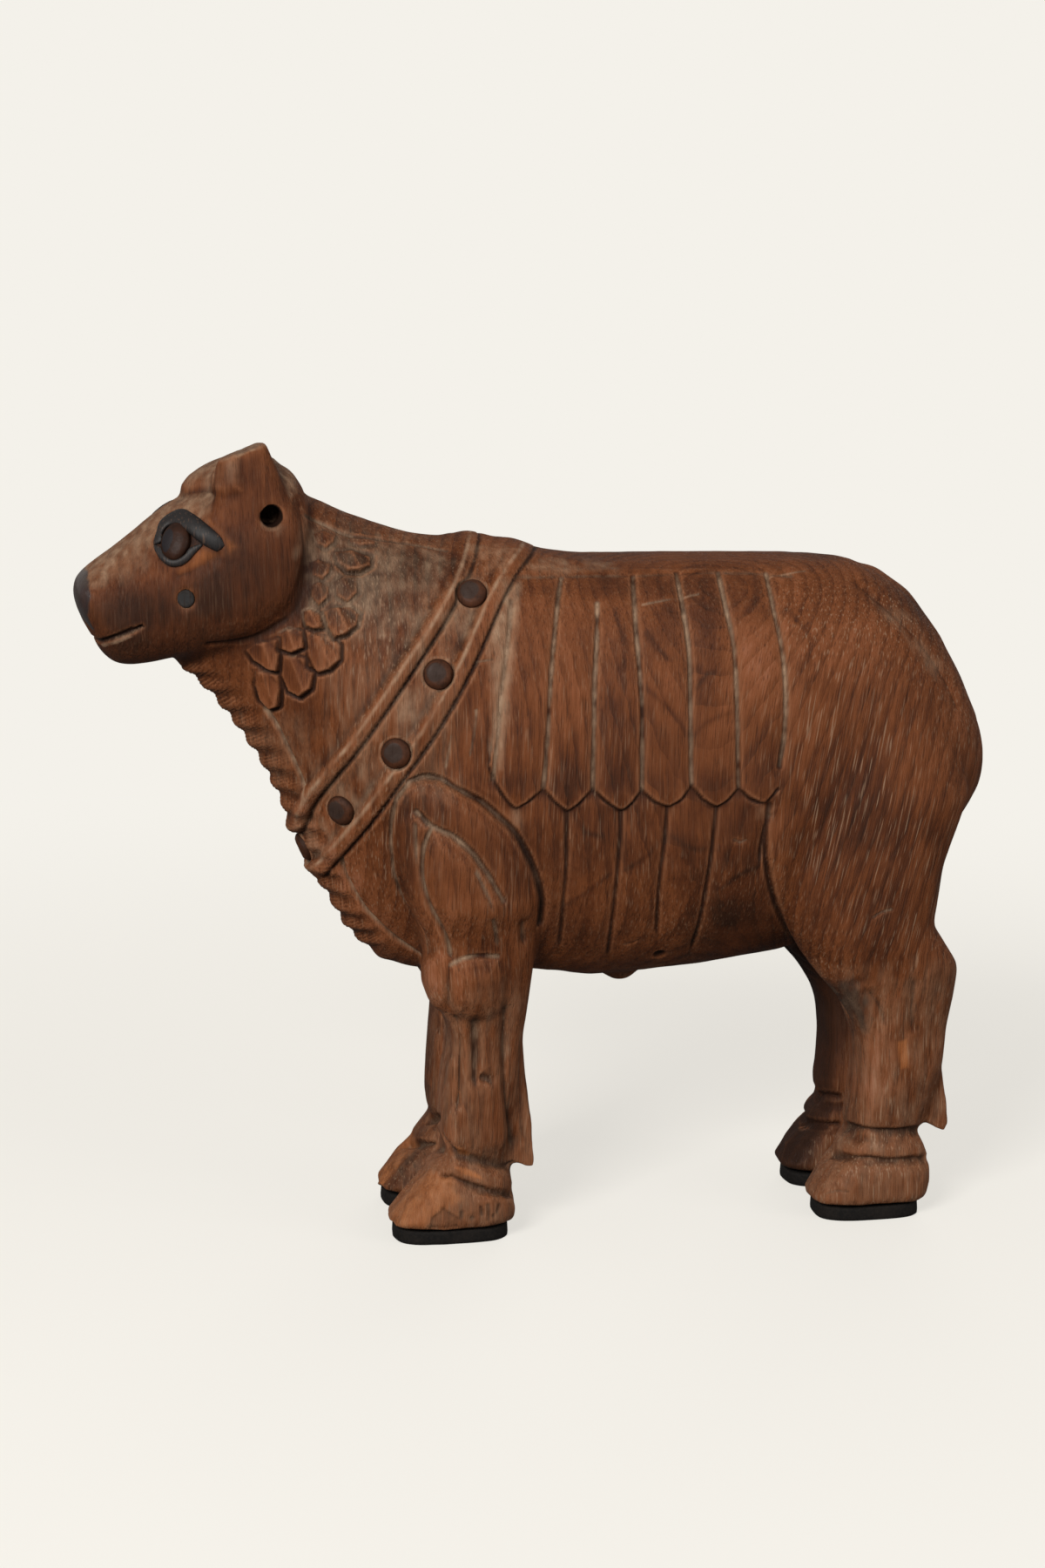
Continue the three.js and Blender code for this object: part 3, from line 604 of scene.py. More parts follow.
folded = photo_side(smooth)
print("largest nudge", np.abs(folded - smooth * [1, -1, 1])[smooth[:, 1] > 0].max().round(2), "mm")

# %% [markdown]
# The lines themselves are grouped as a carver would name them. Each group lists a few pixels along
# each line, from its start to its end.

# %% Chisel lines: flank, collar and chest
UPPER_TONGUES = [
    [(588, 690), (584, 735), (577, 790), (571, 850), (567, 894)],
    [(645, 662), (640, 700), (633, 780), (629, 850), (624, 904)],
    [(686, 692), (686, 730), (683, 790), (682, 850), (681, 905)],
    [(727, 660), (730, 709), (735, 770), (738, 830), (737, 906)],
    [(777, 656), (785, 700), (792, 750), (793, 806), (794, 900)],
    [(825, 656), (834, 697), (844, 745), (847, 818), (848, 903)],
    [(880, 656), (889, 698), (899, 745), (903, 790), (902, 840), (896, 880)],
]
SCALLOP_EDGE = [
    (562, 880), (570, 900), (580, 916), (592, 928), (608, 919), (624, 905), (637, 920), (652, 931),
    (667, 920), (681, 905), (695, 919), (714, 931), (727, 920), (737, 906), (750, 919), (768, 926),
    (783, 917), (794, 901), (807, 917), (823, 926), (837, 917), (848, 904), (861, 916), (878, 922),
    (893, 906),
]
LOWER_TONGUES = [
    [(592, 928), (597, 945)],
    [(652, 931), (651, 965), (650, 1002), (646, 1045), (641, 1096)],
    [(714, 931), (713, 960), (709, 1010), (704, 1055), (697, 1106)],
    [(767, 927), (764, 965), (758, 1015), (754, 1085)],
    [(823, 927), (818, 980), (808, 1040), (801, 1070), (791, 1098)],
    [(884, 936), (876, 965), (871, 1004)],
]
FLANK_STEP = [
    (884, 925), (880, 955), (880, 985), (887, 1022), (900, 1060), (926, 1100), (955, 1136), (974, 1168),
]
BACK_LINE = [(592, 662), (645, 661), (690, 660), (728, 660), (800, 657), (860, 657), (908, 660)]
SHOULDER_LEFT = [
    (470, 899), (456, 918), (450, 945), (450, 972), (453, 1000), (462, 1026), (475, 1048), (486, 1068),
    (490, 1092),
]
SHOULDER_RIGHT = [
    (470, 899), (486, 893), (505, 895), (524, 906), (552, 921), (573, 939), (591, 957), (608, 988),
    (617, 1013), (621, 1034), (620, 1060),
]
LEAF_LEFT = [(498, 949), (489, 971), (487, 999), (493, 1027), (502, 1052), (511, 1074), (516, 1096)]
LEAF_RIGHT = [(481, 932), (498, 949), (519, 959), (541, 979), (561, 1007), (575, 1033)]
LEAF_FOLDS = [
    [(480, 945), (481, 975), (484, 1008)], [(565, 1055), (570, 1075), (573, 1094)],
    [(545, 1000), (559, 1030), (566, 1052)],
]
CHEST_LINE = [(391, 986), (394, 1002), (404, 1021), (414, 1038), (430, 1057), (452, 1077), (481, 1096)]
FRONT_RAIL = [
    (540, 614), (533, 643), (521, 672), (500, 711), (470, 758), (438, 806), (403, 855), (375, 889),
    (352, 918), (340, 946),
]
BACK_RAIL = [
    (598, 630), (582, 652), (566, 682), (551, 716), (523, 776), (487, 838), (445, 897), (418, 934),
    (390, 967), (362, 998),
]
RAIL_WIDE = [(10, 5), (13, 6)]
NECK_SEAM = [(305, 815), (318, 835), (332, 863), (343, 888), (353, 914)]
CREST_LINE = [(352, 592), (375, 603), (401, 614), (440, 619), (474, 624), (512, 631)]
DRY_SCRATCHES = [
    [(738, 694), (770, 688), (802, 682)], [(1003, 1053), (1012, 1047), (1024, 1044)],
    [(843, 964), (850, 967), (857, 964)], [(716, 1085), (724, 1083), (733, 1079)],
    [(548, 760), (566, 757)], [(512, 880), (516, 860), (518, 845)],
    [(949, 1369), (962, 1367), (974, 1368)], [(880, 662), (900, 658), (925, 655)],
    [(540, 866), (545, 840), (547, 815)],
]
print("lines on the flank", len(UPPER_TONGUES) + len(LOWER_TONGUES), "and", len(DRY_SCRATCHES), "scratches")

# %% [markdown]
# The legs have creases above and below each fetlock and long hollows down the shank. The head has few
# lines: the mouth, the brow, and the soft edges of the cheek.

# %% Chisel lines: legs and head
KNEE_TOP = [(517, 1108), (530, 1101), (549, 1097), (572, 1098)]
SHANK_LINES = [
    [(521, 1172), (526, 1215), (526, 1250), (522, 1290)],
    [(508, 1170), (506, 1205), (498, 1240)],
    [(546, 1176), (547, 1215), (545, 1262)],
    [(581, 1160), (581, 1205), (583, 1250), (588, 1295), (592, 1330)],
    [(555, 1238), (565, 1244), (570, 1258)],
    [(600, 1060), (603, 1085), (601, 1100)],
]
FETLOCK_LINES = [
    [(508, 1306), (518, 1322), (541, 1330), (562, 1335), (592, 1339)],
    [(503, 1349), (521, 1354), (540, 1361), (560, 1367), (592, 1371)],
]
HIND_LINES = [
    [(969, 1292), (1000, 1299), (1030, 1301), (1061, 1297)],
    [(952, 1324), (985, 1330), (1020, 1334), (1047, 1332), (1070, 1328)],
]
HOOF_CRACKS = [
    [(531, 1393), (530, 1402), (532, 1413)], [(553, 1387), (554, 1395), (552, 1404)],
    [(561, 1384), (562, 1395), (561, 1409)], [(575, 1383), (573, 1392), (574, 1401)],
    [(509, 1388), (513, 1379)], [(543, 1399), (542, 1409)], [(568, 1396), (567, 1406)],
]
HIND_FOLDS = [
    [(1050, 1130), (1048, 1165), (1050, 1200)], [(1000, 1142), (1012, 1160), (1021, 1190)],
    [(985, 1130), (993, 1143)],
]
RUMP_EDGE = [(985, 668), (1004, 684), (1035, 712), (1062, 741), (1088, 780), (1100, 808)]
MOUTH_SLIT = [(118, 736), (134, 730), (150, 723), (163, 717), (165, 720), (152, 727), (136, 733), (120, 738)]
LOWER_LIP = [(114, 740), (130, 736), (148, 729), (154, 731), (136, 739), (118, 744)]
MOUTH = [(109, 738), (124, 734), (142, 727), (155, 721), (163, 718)]
BROW = [(208, 568), (220, 564), (235, 563), (252, 566)]
CHEEK_LEDGE = [(205, 662), (226, 653), (246, 640), (264, 629)]
JAW_EDGE = [(240, 741), (262, 739), (285, 735), (305, 727), (329, 711)]
CHEEK_BACK = [(329, 711), (343, 694), (351, 667), (353, 636), (349, 605), (346, 580)]
FAR_FOLDS = [
    [(464, 1311), (480, 1312), (506, 1316)], [(938, 1257), (950, 1258), (962, 1260)],
    [(919, 1287), (940, 1290), (962, 1292)], [(490, 1284), (497, 1284), (504, 1283)],
]
print("lines on the legs", len(SHANK_LINES) + len(FETLOCK_LINES) + len(HIND_LINES))

# %% [markdown]
# ## Plates and tufts
# Between the lines some parts stand proud of what lies behind them: the upper tier, the shoulder with a
# leaf on it, the two knobs of the knee, the thigh, the forelock, the tufts of the mane and the upper
# eyelids. Each is an outline, in pixels of the photograph too.

# %% Plates and tufts: outlines
TIER_TOP = [
    (899, 745), (890, 700), (880, 654), (800, 652), (645, 653), (592, 655), (586, 700), (576, 790),
    (567, 850),
]
UPPER_TIER = SCALLOP_EDGE + TIER_TOP
SHOULDER = SHOULDER_LEFT[::-1] + SHOULDER_RIGHT[1:] + [(618, 1100), (578, 1110), (516, 1110)]
LEAF = LEAF_RIGHT[1:] + [(575, 1094), (545, 1100), (516, 1096)] + LEAF_LEFT[-2:0:-1]
HOOF_FLATS = [
    [(488, 1343), (471, 1357), (460, 1388), (453, 1412), (436, 1412), (444, 1388), (466, 1356)],
    [(496, 1398), (510, 1388), (528, 1399), (527, 1412), (493, 1413)],
]
KNEES = [
    [(491, 1098), (503, 1094), (512, 1100), (514, 1125), (514, 1146), (508, 1158), (498, 1158),
     (489, 1146), (484, 1126), (485, 1110)],
    [(518, 1109), (531, 1103), (552, 1100), (571, 1102), (578, 1118), (579, 1142), (574, 1160),
     (558, 1168), (538, 1168), (524, 1162), (517, 1148), (516, 1126)],
]
THIGH = FLANK_STEP + [(1012, 1168), (1048, 1000), (1010, 900)]
FORELOCK = [
    (206, 557), (211, 567), (222, 563), (240, 562), (258, 566), (276, 562), (275, 540), (272, 518),
    (250, 526), (234, 534), (216, 545),
]
TUFTS = [
    [(283, 746), (292, 739), (310, 736), (319, 734), (320, 753), (319, 770), (307, 767), (291, 758)],
    [(294, 770), (306, 772), (318, 776), (321, 792), (320, 810), (310, 814), (298, 803), (293, 787)],
    [(320, 728), (332, 722), (346, 725), (349, 743), (335, 749), (321, 745)],
    [(321, 749), (335, 752), (351, 757), (359, 772), (357, 790), (345, 799), (331, 793), (323, 775)],
    [(353, 735), (361, 729), (382, 732), (390, 741), (390, 757), (379, 768), (366, 772), (355, 764)],
    [(372, 703), (380, 698), (402, 697), (412, 705), (409, 718), (397, 728), (384, 732), (377, 720)],
    [(348, 702), (356, 699), (367, 705), (371, 720), (360, 722), (351, 718)],
    [(384, 633), (404, 632), (425, 639), (425, 649), (413, 656), (399, 655), (388, 645)],
    [(356, 646), (366, 642), (379, 647), (378, 657), (370, 665), (360, 660)],
    [(384, 668), (396, 661), (409, 665), (410, 680), (399, 692), (387, 684)],
    [(356, 672), (367, 668), (378, 674), (376, 686), (366, 695), (358, 686)],
    [(360, 613), (372, 609), (385, 614), (383, 622), (374, 629), (365, 624)],
    [(396, 613), (414, 611), (434, 617), (430, 624), (414, 626), (402, 621)],
]
LID_SHADE = [
    (216, 611), (226, 616), (237, 623), (229, 628), (222, 633), (217, 641), (205, 648), (190, 644),
    (180, 632), (176, 624), (184, 622), (190, 636), (204, 642), (215, 632),
]
EYE_RING = [(205 + a * math.cos(t), 622 + b * math.sin(t)) for a, b in ((30, 34), (42, 40), (52, 34))
            for t in np.linspace(0, 2 * math.pi, 20)]
eye_ring = trace(EYE_RING, 20.0)
print("plates", 5 + len(KNEES), "tufts", len(TUFTS), "points round the eye", len(eye_ring))

# %% [markdown]
# ## Cutting the lines
# A V chisel leaves a narrow deep cut, and the carver then rounds the wood down towards it, which makes
# each tongue a soft pillow. So a line is cut twice: narrow and deep, and wide and shallow. A plate is
# raised inside its outline, with a short slope at the edge and a low crown. All of it is a height for
# each point of the skin, worked out for all points at once, and the points move along their normals.

# %% Cutting: heights of the lines
PIXELS_PER_MM = 2.9
PLATE_MARGIN, MANY_POINTS = 14.0, 40000
HAND_SIZE, HAND_SHARE = 16.0, 0.3
V_POWER, SOFT_POWER = 1.2, 2


def seen_from_photo(spots, folded, normals):
    """1 where the skin of the folded flank faces the camera and 0 where it turns away."""
    facing = normals * np.where(spots[:, 1:2] > 0, [[1, -1, 1]], [[1, 1, 1]])
    toward = EYE_POINT - folded
    toward /= np.linalg.norm(toward, axis=1, keepdims=True)
    return ramp((facing * toward).sum(axis=1), 0.02, 0.2)


def plate(outline, pixels, margin=PLATE_MARGIN):
    """Distance inside an outline of the photograph, in millimetres; points far from it get -margin."""
    a = np.asarray(outline, float)
    pad = margin * PIXELS_PER_MM
    close = np.flatnonzero(((pixels > a.min(0) - pad) & (pixels < a.max(0) + pad)).all(axis=1))
    out = np.full(len(pixels), -margin)
    for some in np.array_split(close, max(len(close) // MANY_POINTS, 1)):
        out[some] = np.maximum(inside_distance(pixels[some], a) / PIXELS_PER_MM, -margin)
    return out


def shown(outline, low, high, margin=PLATE_MARGIN):
    """1 inside an outline on the flank that faces the camera, with a soft edge from low to high."""
    return seen_side * ramp(plate(outline, pixels, margin), low, high)


def spots_of(name):
    """The points that a group of lines works on: the far feet have their own lines, the rest are folded."""
    return smooth if name == "far" else folded


def run_out(spots, line, tail):
    """1 at the last point of a line and 0 a tail's length away from it, for tapering the line's end."""
    return 1 - ramp(np.linalg.norm(spots - line[-1], axis=1), 0, tail) if tail else 0.0


def carve(name, lines, width, depth, soft_width=0.0, soft_depth=0.0, tail=0.0):
    """Traces a group of lines, keeps it by name and gives the depth of its cuts: full on a line and straight
    to nothing at its width, plus a wide shallow rounding, varied as by hand and run out over a tail."""
    traced[name] = [line for line in map(trace, lines) if len(line) > 1]
    tails[name] = tail
    if name == "mouth":
        traced[name] = [to_front(line) for line in traced[name]]
    deepest, spots = np.zeros(len(smooth)), spots_of(name)
    for line in traced[name]:
        d = distance_to(spots, line, max(width, soft_width)) + 2 * width * run_out(spots, line, tail)
        here = depth * np.clip(1 - d / width, 0, 1) ** V_POWER
        if soft_width:
            here = here + soft_depth * np.clip(1 - d / soft_width, 0, 1) ** SOFT_POWER
        deepest = np.maximum(deepest, here * (1 + HAND_SHARE * hand))
    return deepest


normals = get_normals(skin)
seen_side = seen_from_photo(smooth, folded, normals)
pixels = to_photo(folded)
photo_x, photo_y = pixels.T
hand = lumps(smooth, HAND_SIZE, 3)
traced, tails = {}, {}
print("points that face the camera", round(float((seen_side > 0.5).mean()), 3))

# %% [markdown]
# Each group of lines has the sizes of its cuts in millimetres: width and depth of the V, width and depth of
# the rounding, and the length of the tail over which a line's end runs out.

# %% Cutting: sizes of the lines
SLIT_DEPTH, SLIT_EDGE = 2.2, (-0.4, 0.5)
CUTS = {
    "upper": (UPPER_TONGUES, 1.5, 1.25, 7.5, 1.0),
    "lower": (LOWER_TONGUES, 1.3, 0.8, 8.5, 1.2, 9.0),
    "back": ([BACK_LINE], 2.5, 0.3, 7.0, 0.5),
    "scallop": ([SCALLOP_EDGE], 1.2, 0.8),
    "flank": ([FLANK_STEP], 2.0, 0.9, 9.0, 0.8),
    "shoulder": ([SHOULDER_RIGHT], 2.2, 1.6, 7.0, 0.8),
    "shoulder_left": ([SHOULDER_LEFT], 1.6, 1.0, 6.0, 0.5),
    "leaf": ([LEAF_LEFT, LEAF_RIGHT], 1.9, 1.2, 8.0, 1.4),
    "folds": (LEAF_FOLDS, 1.6, 0.6, 5.0, 0.5, 6.0),
    "hind_folds": (HIND_FOLDS, 4.0, 0.5, 9.0, 0.7, 8.0),
    "chest": ([CHEST_LINE], 1.6, 1.3, 7.0, 0.7),
    "neck": ([NECK_SEAM], 1.4, 1.1, 6.0, 0.5),
    "crest": ([CREST_LINE], 1.4, 0.7, 6.0, 0.5),
    "knee": ([KNEE_TOP], 1.4, 0.8),
    "shank": (SHANK_LINES, 3.2, 0.8, 7.0, 1.7, 9.0),
    "far": (FAR_FOLDS, 2.6, 1.8, 7.0, 1.0),
    "fetlock": (FETLOCK_LINES + HIND_LINES, 2.4, 1.5, 6.0, 0.8),
    "hoof": (HOOF_CRACKS, 1.3, 0.5, 4.0, 0.3, 4.0),
    "rump": ([RUMP_EDGE], 5.0, 0.3, 14.0, 1.2),
    "mouth": ([MOUTH], 1.3, 1.8, 4.0, 0.2, 5.0),
    "brow": ([BROW], 4.0, 0.3, 10.0, 0.7, 6.0),
    "ledge": ([CHEEK_LEDGE], 4.0, 0.3, 8.0, 0.5, 6.0),
    "jaw": ([JAW_EDGE], 2.2, 0.9, 8.0, 1.0),
    "cheek": ([CHEEK_BACK], 5.0, 0.6, 10.0, 0.8),
    "scratch": (DRY_SCRATCHES, 0.9, 0.35),
}
cut = SLIT_DEPTH * shown(MOUTH_SLIT, *SLIT_EDGE, 6.0)
for name, sizes in CUTS.items():
    cut = np.maximum(cut, carve(name, *sizes))
print("deepest cut", round(float(cut.max()), 2), "mm in", len(traced), "groups of lines")

# %% [markdown]
# The rails of the collar are steps: the wood rises gently to a crest and then falls in a short bevel to a
# dark foot, like the edges of two bands that overlap. They go over the withers and under the breast. Which
# side of the crest a point lies on is told by comparing its distances to the crest and to the foot.

# %% Cutting: rails
RAIL_HEIGHT, RAIL_RISE, RAIL_END, RAIL_REACH = 2.4, (0.2, 4.6), (7, 9), 24.0
FOOT_DEPTH, FOOT_WIDTH, BEVEL_SHARE = 1.3, 1.5, 0.75
WITHERS, WITHERS_SHARE, RAIL_HAND = (625, 715), 0.35, 0.2
ON_BEVEL, ON_RAIL = 0.05, 0.2


def round_the_neck(pixels):
    """A rail's line on this flank, carried on to the middle of the withers and of the breast."""
    return to_ridge(to_ridge(trace(pixels), False, True), True, False)


def rail_step(crest, foot, wide):
    """Height of a stepped rail and depth of the cut beside it: a soft rise to the crest, a round bevel down
    to the foot, and a narrow cut there. Both are lower on the withers."""
    d, f = (distance_to(folded, line, RAIL_REACH) for line in (crest, foot))
    across = np.clip((wide - (f - d)) / (2 * wide), 0, 1)
    rise = np.where(across < ON_BEVEL, 1 - ramp(d, *RAIL_RISE), np.sqrt(1 - across))
    lower = WITHERS_SHARE + (1 - WITHERS_SHARE) * ramp(photo_y, *WITHERS)
    foot_cut = FOOT_DEPTH * lower * np.clip(1 - f / FOOT_WIDTH, 0, 1)
    return RAIL_HEIGHT * lower * rise * (1 - ramp(d, *RAIL_END)), foot_cut


raised = np.zeros(len(smooth))
traced["rail"], traced["rail_foot"], tails["rail"], tails["rail_foot"] = [], [], 0.0, 0.0
for rail, (right, down) in zip((FRONT_RAIL, BACK_RAIL), RAIL_WIDE):
    crest = round_the_neck(rail)
    foot = round_the_neck([(x + right, y + down) for x, y in rail])
    step, foot_cut = rail_step(crest, foot, math.hypot(right, down) * BEVEL_SHARE / PIXELS_PER_MM)
    raised = np.maximum(raised, step * (1 + RAIL_HAND * hand))
    cut = np.where(step > ON_RAIL, 0, np.maximum(cut, foot_cut))
    traced["rail"].append(crest)
    traced["rail_foot"].append(foot)
print("rails rise", round(float(raised.max()), 2), "mm")

# %% [markdown]
# The plates and tufts are raised on top of that. A tuft rises towards its lower end, like a shingle, and is
# cut with two faces that meet in a ridge. The small ones higher on the neck are worn low.

# %% Cutting: plates and tufts
SHINGLE_WAY, FACET_WAY = np.array([0.5, 0.87]), [0.9, -0.43]
TIER_RISE, TIER_END, LIMB_FADE = (235, 175), (905, 870), (1030, 1092)
THIGH_HEIGHT, THIGH_EDGE, THIGH_FADE = 1.5, (-0.6, 1.2), (4, 18)
THIGH_TOP, THIGH_FOOT = (925, 985), (1168, 1110)
BOLD_TUFTS, FAINT_SHARE, TUFT_MARGIN, TUFT_EDGE = 8, 0.35, 5.0, (-0.4, 0.5)
TUFT_HEIGHT, TUFT_LIFT, TUFT_LIMITS = 1.9, 2.6, (0.2, 3.4)
RIDGE_OFFSET, STEEP_FACE, FLAT_FACE = 2, 6, 15
GAP_DEPTH, GAP_MIDDLE, GAP_WIDTH, GAP_FADE = 1.1, 0.9, 1.3, (-0.7, 0.3)


def raise_plate(outline, height, edge=0.5, crown=0.0, reach=6.0):
    """A plate's height: a smooth step at its outline, and a crown that grows inwards over a reach."""
    d = plate(outline, pixels)
    return seen_side * (height * ramp(d, -edge, edge) + crown * ramp(d, 0, reach))


tier_height = (0.2 + 1.2 * under(folded[:, 2], *TIER_RISE)) * under(photo_x, *TIER_END)
raised += raise_plate(UPPER_TIER, 1.0, 0.4) * tier_height
limb = raise_plate(SHOULDER, 1.9, 0.9, 1.1, 7.0) + raise_plate(LEAF, 0.9, 0.7, 0.9, 7.0)
limb *= 1 - ramp(photo_y, *LIMB_FADE)
for knob in KNEES:
    limb = np.maximum(limb, raise_plate(knob, 1.5, 2.1, 2.0, 8.0))
raised += limb
by_thigh = 1 - ramp(distance_to(folded, traced["flank"][0], 20.0), *THIGH_FADE)
thigh_span = ramp(photo_y, *THIGH_TOP) * under(photo_y, *THIGH_FOOT)
raised += seen_side * THIGH_HEIGHT * ramp(plate(THIGH, pixels), *THIGH_EDGE) * by_thigh * thigh_span
raised += raise_plate(FORELOCK, 1.0, 2.4)
for flat in HOOF_FLATS:
    raised -= raise_plate(flat, 0.7, 0.5)
gaps = np.zeros(len(smooth))
for number, tuft in enumerate(TUFTS):
    d = plate(tuft, pixels, TUFT_MARGIN)
    rel = pixels - np.mean(tuft, axis=0)
    lift = rel @ SHINGLE_WAY / np.ptp(np.asarray(tuft) @ SHINGLE_WAY)
    off = rel @ FACET_WAY - RIDGE_OFFSET
    facet = np.where(off > 0, off / STEEP_FACE, -off / FLAT_FACE)
    bold = seen_side * (1.0 if number < BOLD_TUFTS else FAINT_SHARE)
    raised += bold * ramp(d, *TUFT_EDGE) * np.clip(TUFT_HEIGHT + TUFT_LIFT * lift - facet, *TUFT_LIMITS)
    gap = np.clip(1 - np.abs(d + GAP_MIDDLE) / GAP_WIDTH, 0, 1)
    gaps = np.maximum(gaps, bold * gap * ramp(lift, *GAP_FADE))
cut = np.maximum(cut, GAP_DEPTH * gaps)
print("highest raise", round(float(raised.max()), 2), "mm")

# %% [markdown]
# The loose skin under the throat hangs in pleats. Seen from the side they make a row of round bumps along
# the front edge, which is found from the skin itself, level by level. Last come the faint hollows of the
# gouge all over, and a knot hole low on the belly.

# %% Cutting: pleats, gouge marks and a knot
PLEAT, PLEAT_DEPTH = 9.4, 1.5
PLEAT_REACH, PLEAT_FADE, PLEAT_HALF, PLEAT_LEVEL = 18, (13, 3), 26, 0.55
PLEAT_SLANT, PLEAT_WANDER = 0.45, 1.6
THROAT, THROAT_FRONT, THROAT_MIDDLE, THROAT_HALF = (110, 236), -146, -84, 66
SLICE_WIDTH, SLICE_HEIGHT, SMOOTHING = 2.5, 1.6, 13
KNOT_HOLE, KNOT_DEPTH, KNOT_SIZE = (757, 1096), 1.8, (0.5, 3.6)
FLANK_SCOOPS, FOOT_SCOOPS = np.array([8.0, 8.0, 15.0]), np.array([14.0, 14.0, 20.0])
KNOCKED = (46, 34)


def pleats(spots, edge, pitch):
    """Ripples along an edge: the nearest step of the edge gives how far along it a spot is, and a round wave
    of one pitch runs along that, fading with the distance from the edge."""
    flat = edge[:, [0, 2]]
    run = np.concatenate([[0], np.cumsum(np.linalg.norm(np.diff(flat, axis=0), axis=1))])
    height = np.zeros(len(spots))
    lo, hi = flat.min(0) - PLEAT_REACH, flat.max(0) + PLEAT_REACH
    here = spots[:, [0, 2]]
    close = np.flatnonzero(((here > lo) & (here < hi)).all(axis=1) & (np.abs(spots[:, 1]) < PLEAT_HALF))
    for some in np.array_split(close, max(len(close) // 20000, 1)):
        gap = np.linalg.norm(here[some][:, None] - flat, axis=2)
        nearest = gap.argmin(axis=1)
        d = gap[np.arange(len(some)), nearest]
        s = run[nearest] + PLEAT_SLANT * d + PLEAT_WANDER * lumps(spots[some], 16.0, 5)
        height[some] = (np.sin(np.pi * s / pitch) ** 2 - PLEAT_LEVEL) * under(d, *PLEAT_FADE)
    return height


x, y, z = smooth.T
ahead = np.abs(x - THROAT_MIDDLE) < THROAT_HALF
breast = smooth[(np.abs(y) < SLICE_WIDTH) & (z > THROAT[0]) & (z < THROAT[1]) & ahead]
levels = np.arange(THROAT[0] + 2, THROAT[1] - 2, 1.0)
front = [breast[np.abs(breast[:, 2] - level) < SLICE_HEIGHT, 0] for level in levels]
foremost = [(f.min(), 0, level) for f, level in zip(front, levels) if len(f)]
dewlap = np.array([spot for spot in foremost if spot[0] > THROAT_FRONT])
ends = np.vstack([dewlap[:1]] * (SMOOTHING // 2) + [dewlap] + [dewlap[-1:]] * (SMOOTHING // 2))
even = np.ones(SMOOTHING) / SMOOTHING
dewlap = np.stack([np.convolve(ends[:, i], even, "valid") for i in range(3)], axis=1)
ripple = pleats(folded, dewlap, PLEAT)
raised += PLEAT_DEPTH * ripple
knot_place = spot_at(KNOT_HOLE)
cut = np.maximum(cut, KNOT_DEPTH * near(folded, knot_place, *KNOT_SIZE))
gouge = 0.22 * lumps(smooth, 17.0, 21) + 0.10 * lumps(smooth, 6.0, 22)
gouge -= 0.30 * (1 - scoops(smooth, FLANK_SCOOPS, 23)) * (0.5 + 0.5 * lumps(smooth, 30.0, 26))
gouge -= 1.3 * under(smooth[:, 2], *KNOCKED) * (1 - scoops(smooth, FOOT_SCOOPS, 24))
carved = smooth + normals * ((raised - cut + gouge) * holes_apart(smooth, 0.45, 0.8))[:, None]
set_points(skin, carved)
print("pleats along", round(float(np.ptp(dewlap[:, 2])), 1), "mm of throat, gouge marks",
      np.ptp(gouge).round(2), "mm")

# %% [markdown]
# ## Marks on the wood
# Age shows on a carving by where things are: dust stays in the cuts, hands wear the edges pale, old
# paint is left round the eyes and on the nose, and the feet are knocked down to fresher wood. Shade is
# painted in as well: in creases, hollows and deep cuts, and on the inner sides of the far legs. Each of
# these is a number at every point of the hide, worked out from the same traced lines and from how much
# the skin bends, and kept as an attribute that the wood's material reads.

# %% Marks: bends and lines
FINE_ROUNDS, WIDE_ROUNDS = 4, 60
CREASE_SHADE_GAIN, WIDE_GAIN, WIDE_START, WORN_GAIN = 7.0, 1.1, 0.1, 6.0
BELL_REACH = 2.5
LOWER_FLANK, FLANK_FRONT, FLANK_END = (870, 930), (575, 600), (960, 900)

marks = {}
skin_points, skin_edges, skin_normals = get_points(skin), get_edges(skin), get_normals(skin)
skin_x, skin_y, skin_z = skin_points.T


def bend_of(rounds):
    """How far the skin lies below the mean of its surroundings, in millimetres: above 0 in a hollow."""
    pull = averaged(skin_points, skin_edges, 1.0, rounds) - skin_points
    return (pull * skin_normals).sum(axis=1)


def mark(name, values):
    """Keeps one number per point of the hide under a name."""
    marks[name] = np.clip(values, 0, 1)


def band(name, width):
    """1 on the traced lines of a group, falling away as a bell of the given width."""
    spots = spots_of(name)
    total = np.zeros(len(folded))
    for line in traced[name]:
        ends = 1 - run_out(spots, line, tails[name])
        total = np.maximum(total, ends * np.exp(-(distance_to(spots, line, width * BELL_REACH) / width) ** 2))
    return total


def bands(sizes):
    """The strongest of several groups' bands at each point, each with its width and its share."""
    return np.max([share * band(name, width) for name, (width, share) in sizes.items()], axis=0)


fine_bend, wide_bend = bend_of(FINE_ROUNDS), bend_of(WIDE_ROUNDS)
calm = 1 - 0.5 * under(skin_z, *KNOCKED)
calm *= 1 - 0.45 * ramp(photo_y, *LOWER_FLANK) * ramp(photo_x, *FLANK_FRONT) * under(photo_x, *FLANK_END)
calm *= np.where(ripple == 0, 1.0, 0.5)
# Painted shade with grime in creases and wide hollows, weaker on the feet, the lower flank and the pleats.
mark("hollow", np.maximum(fine_bend * CREASE_SHADE_GAIN * calm, wide_bend * WIDE_GAIN - WIDE_START))
mark("worn", -fine_bend * WORN_GAIN * (1 - 0.7 * shown(MOUTH_SLIT, -4, -2, 8.0)))
patchy = 0.65 + 0.45 * lumps(skin_points, 8.0, 31) + 0.35 * lumps(skin_points, 2.6, 32)
streaky = 0.6 + 0.6 * lumps(skin_points * [1, 1, 0.25], 2.2, 34)
for name in ("hollow", "worn"):
    print("share of the skin marked", name, round(float((marks[name] > 0.5).mean()), 3))
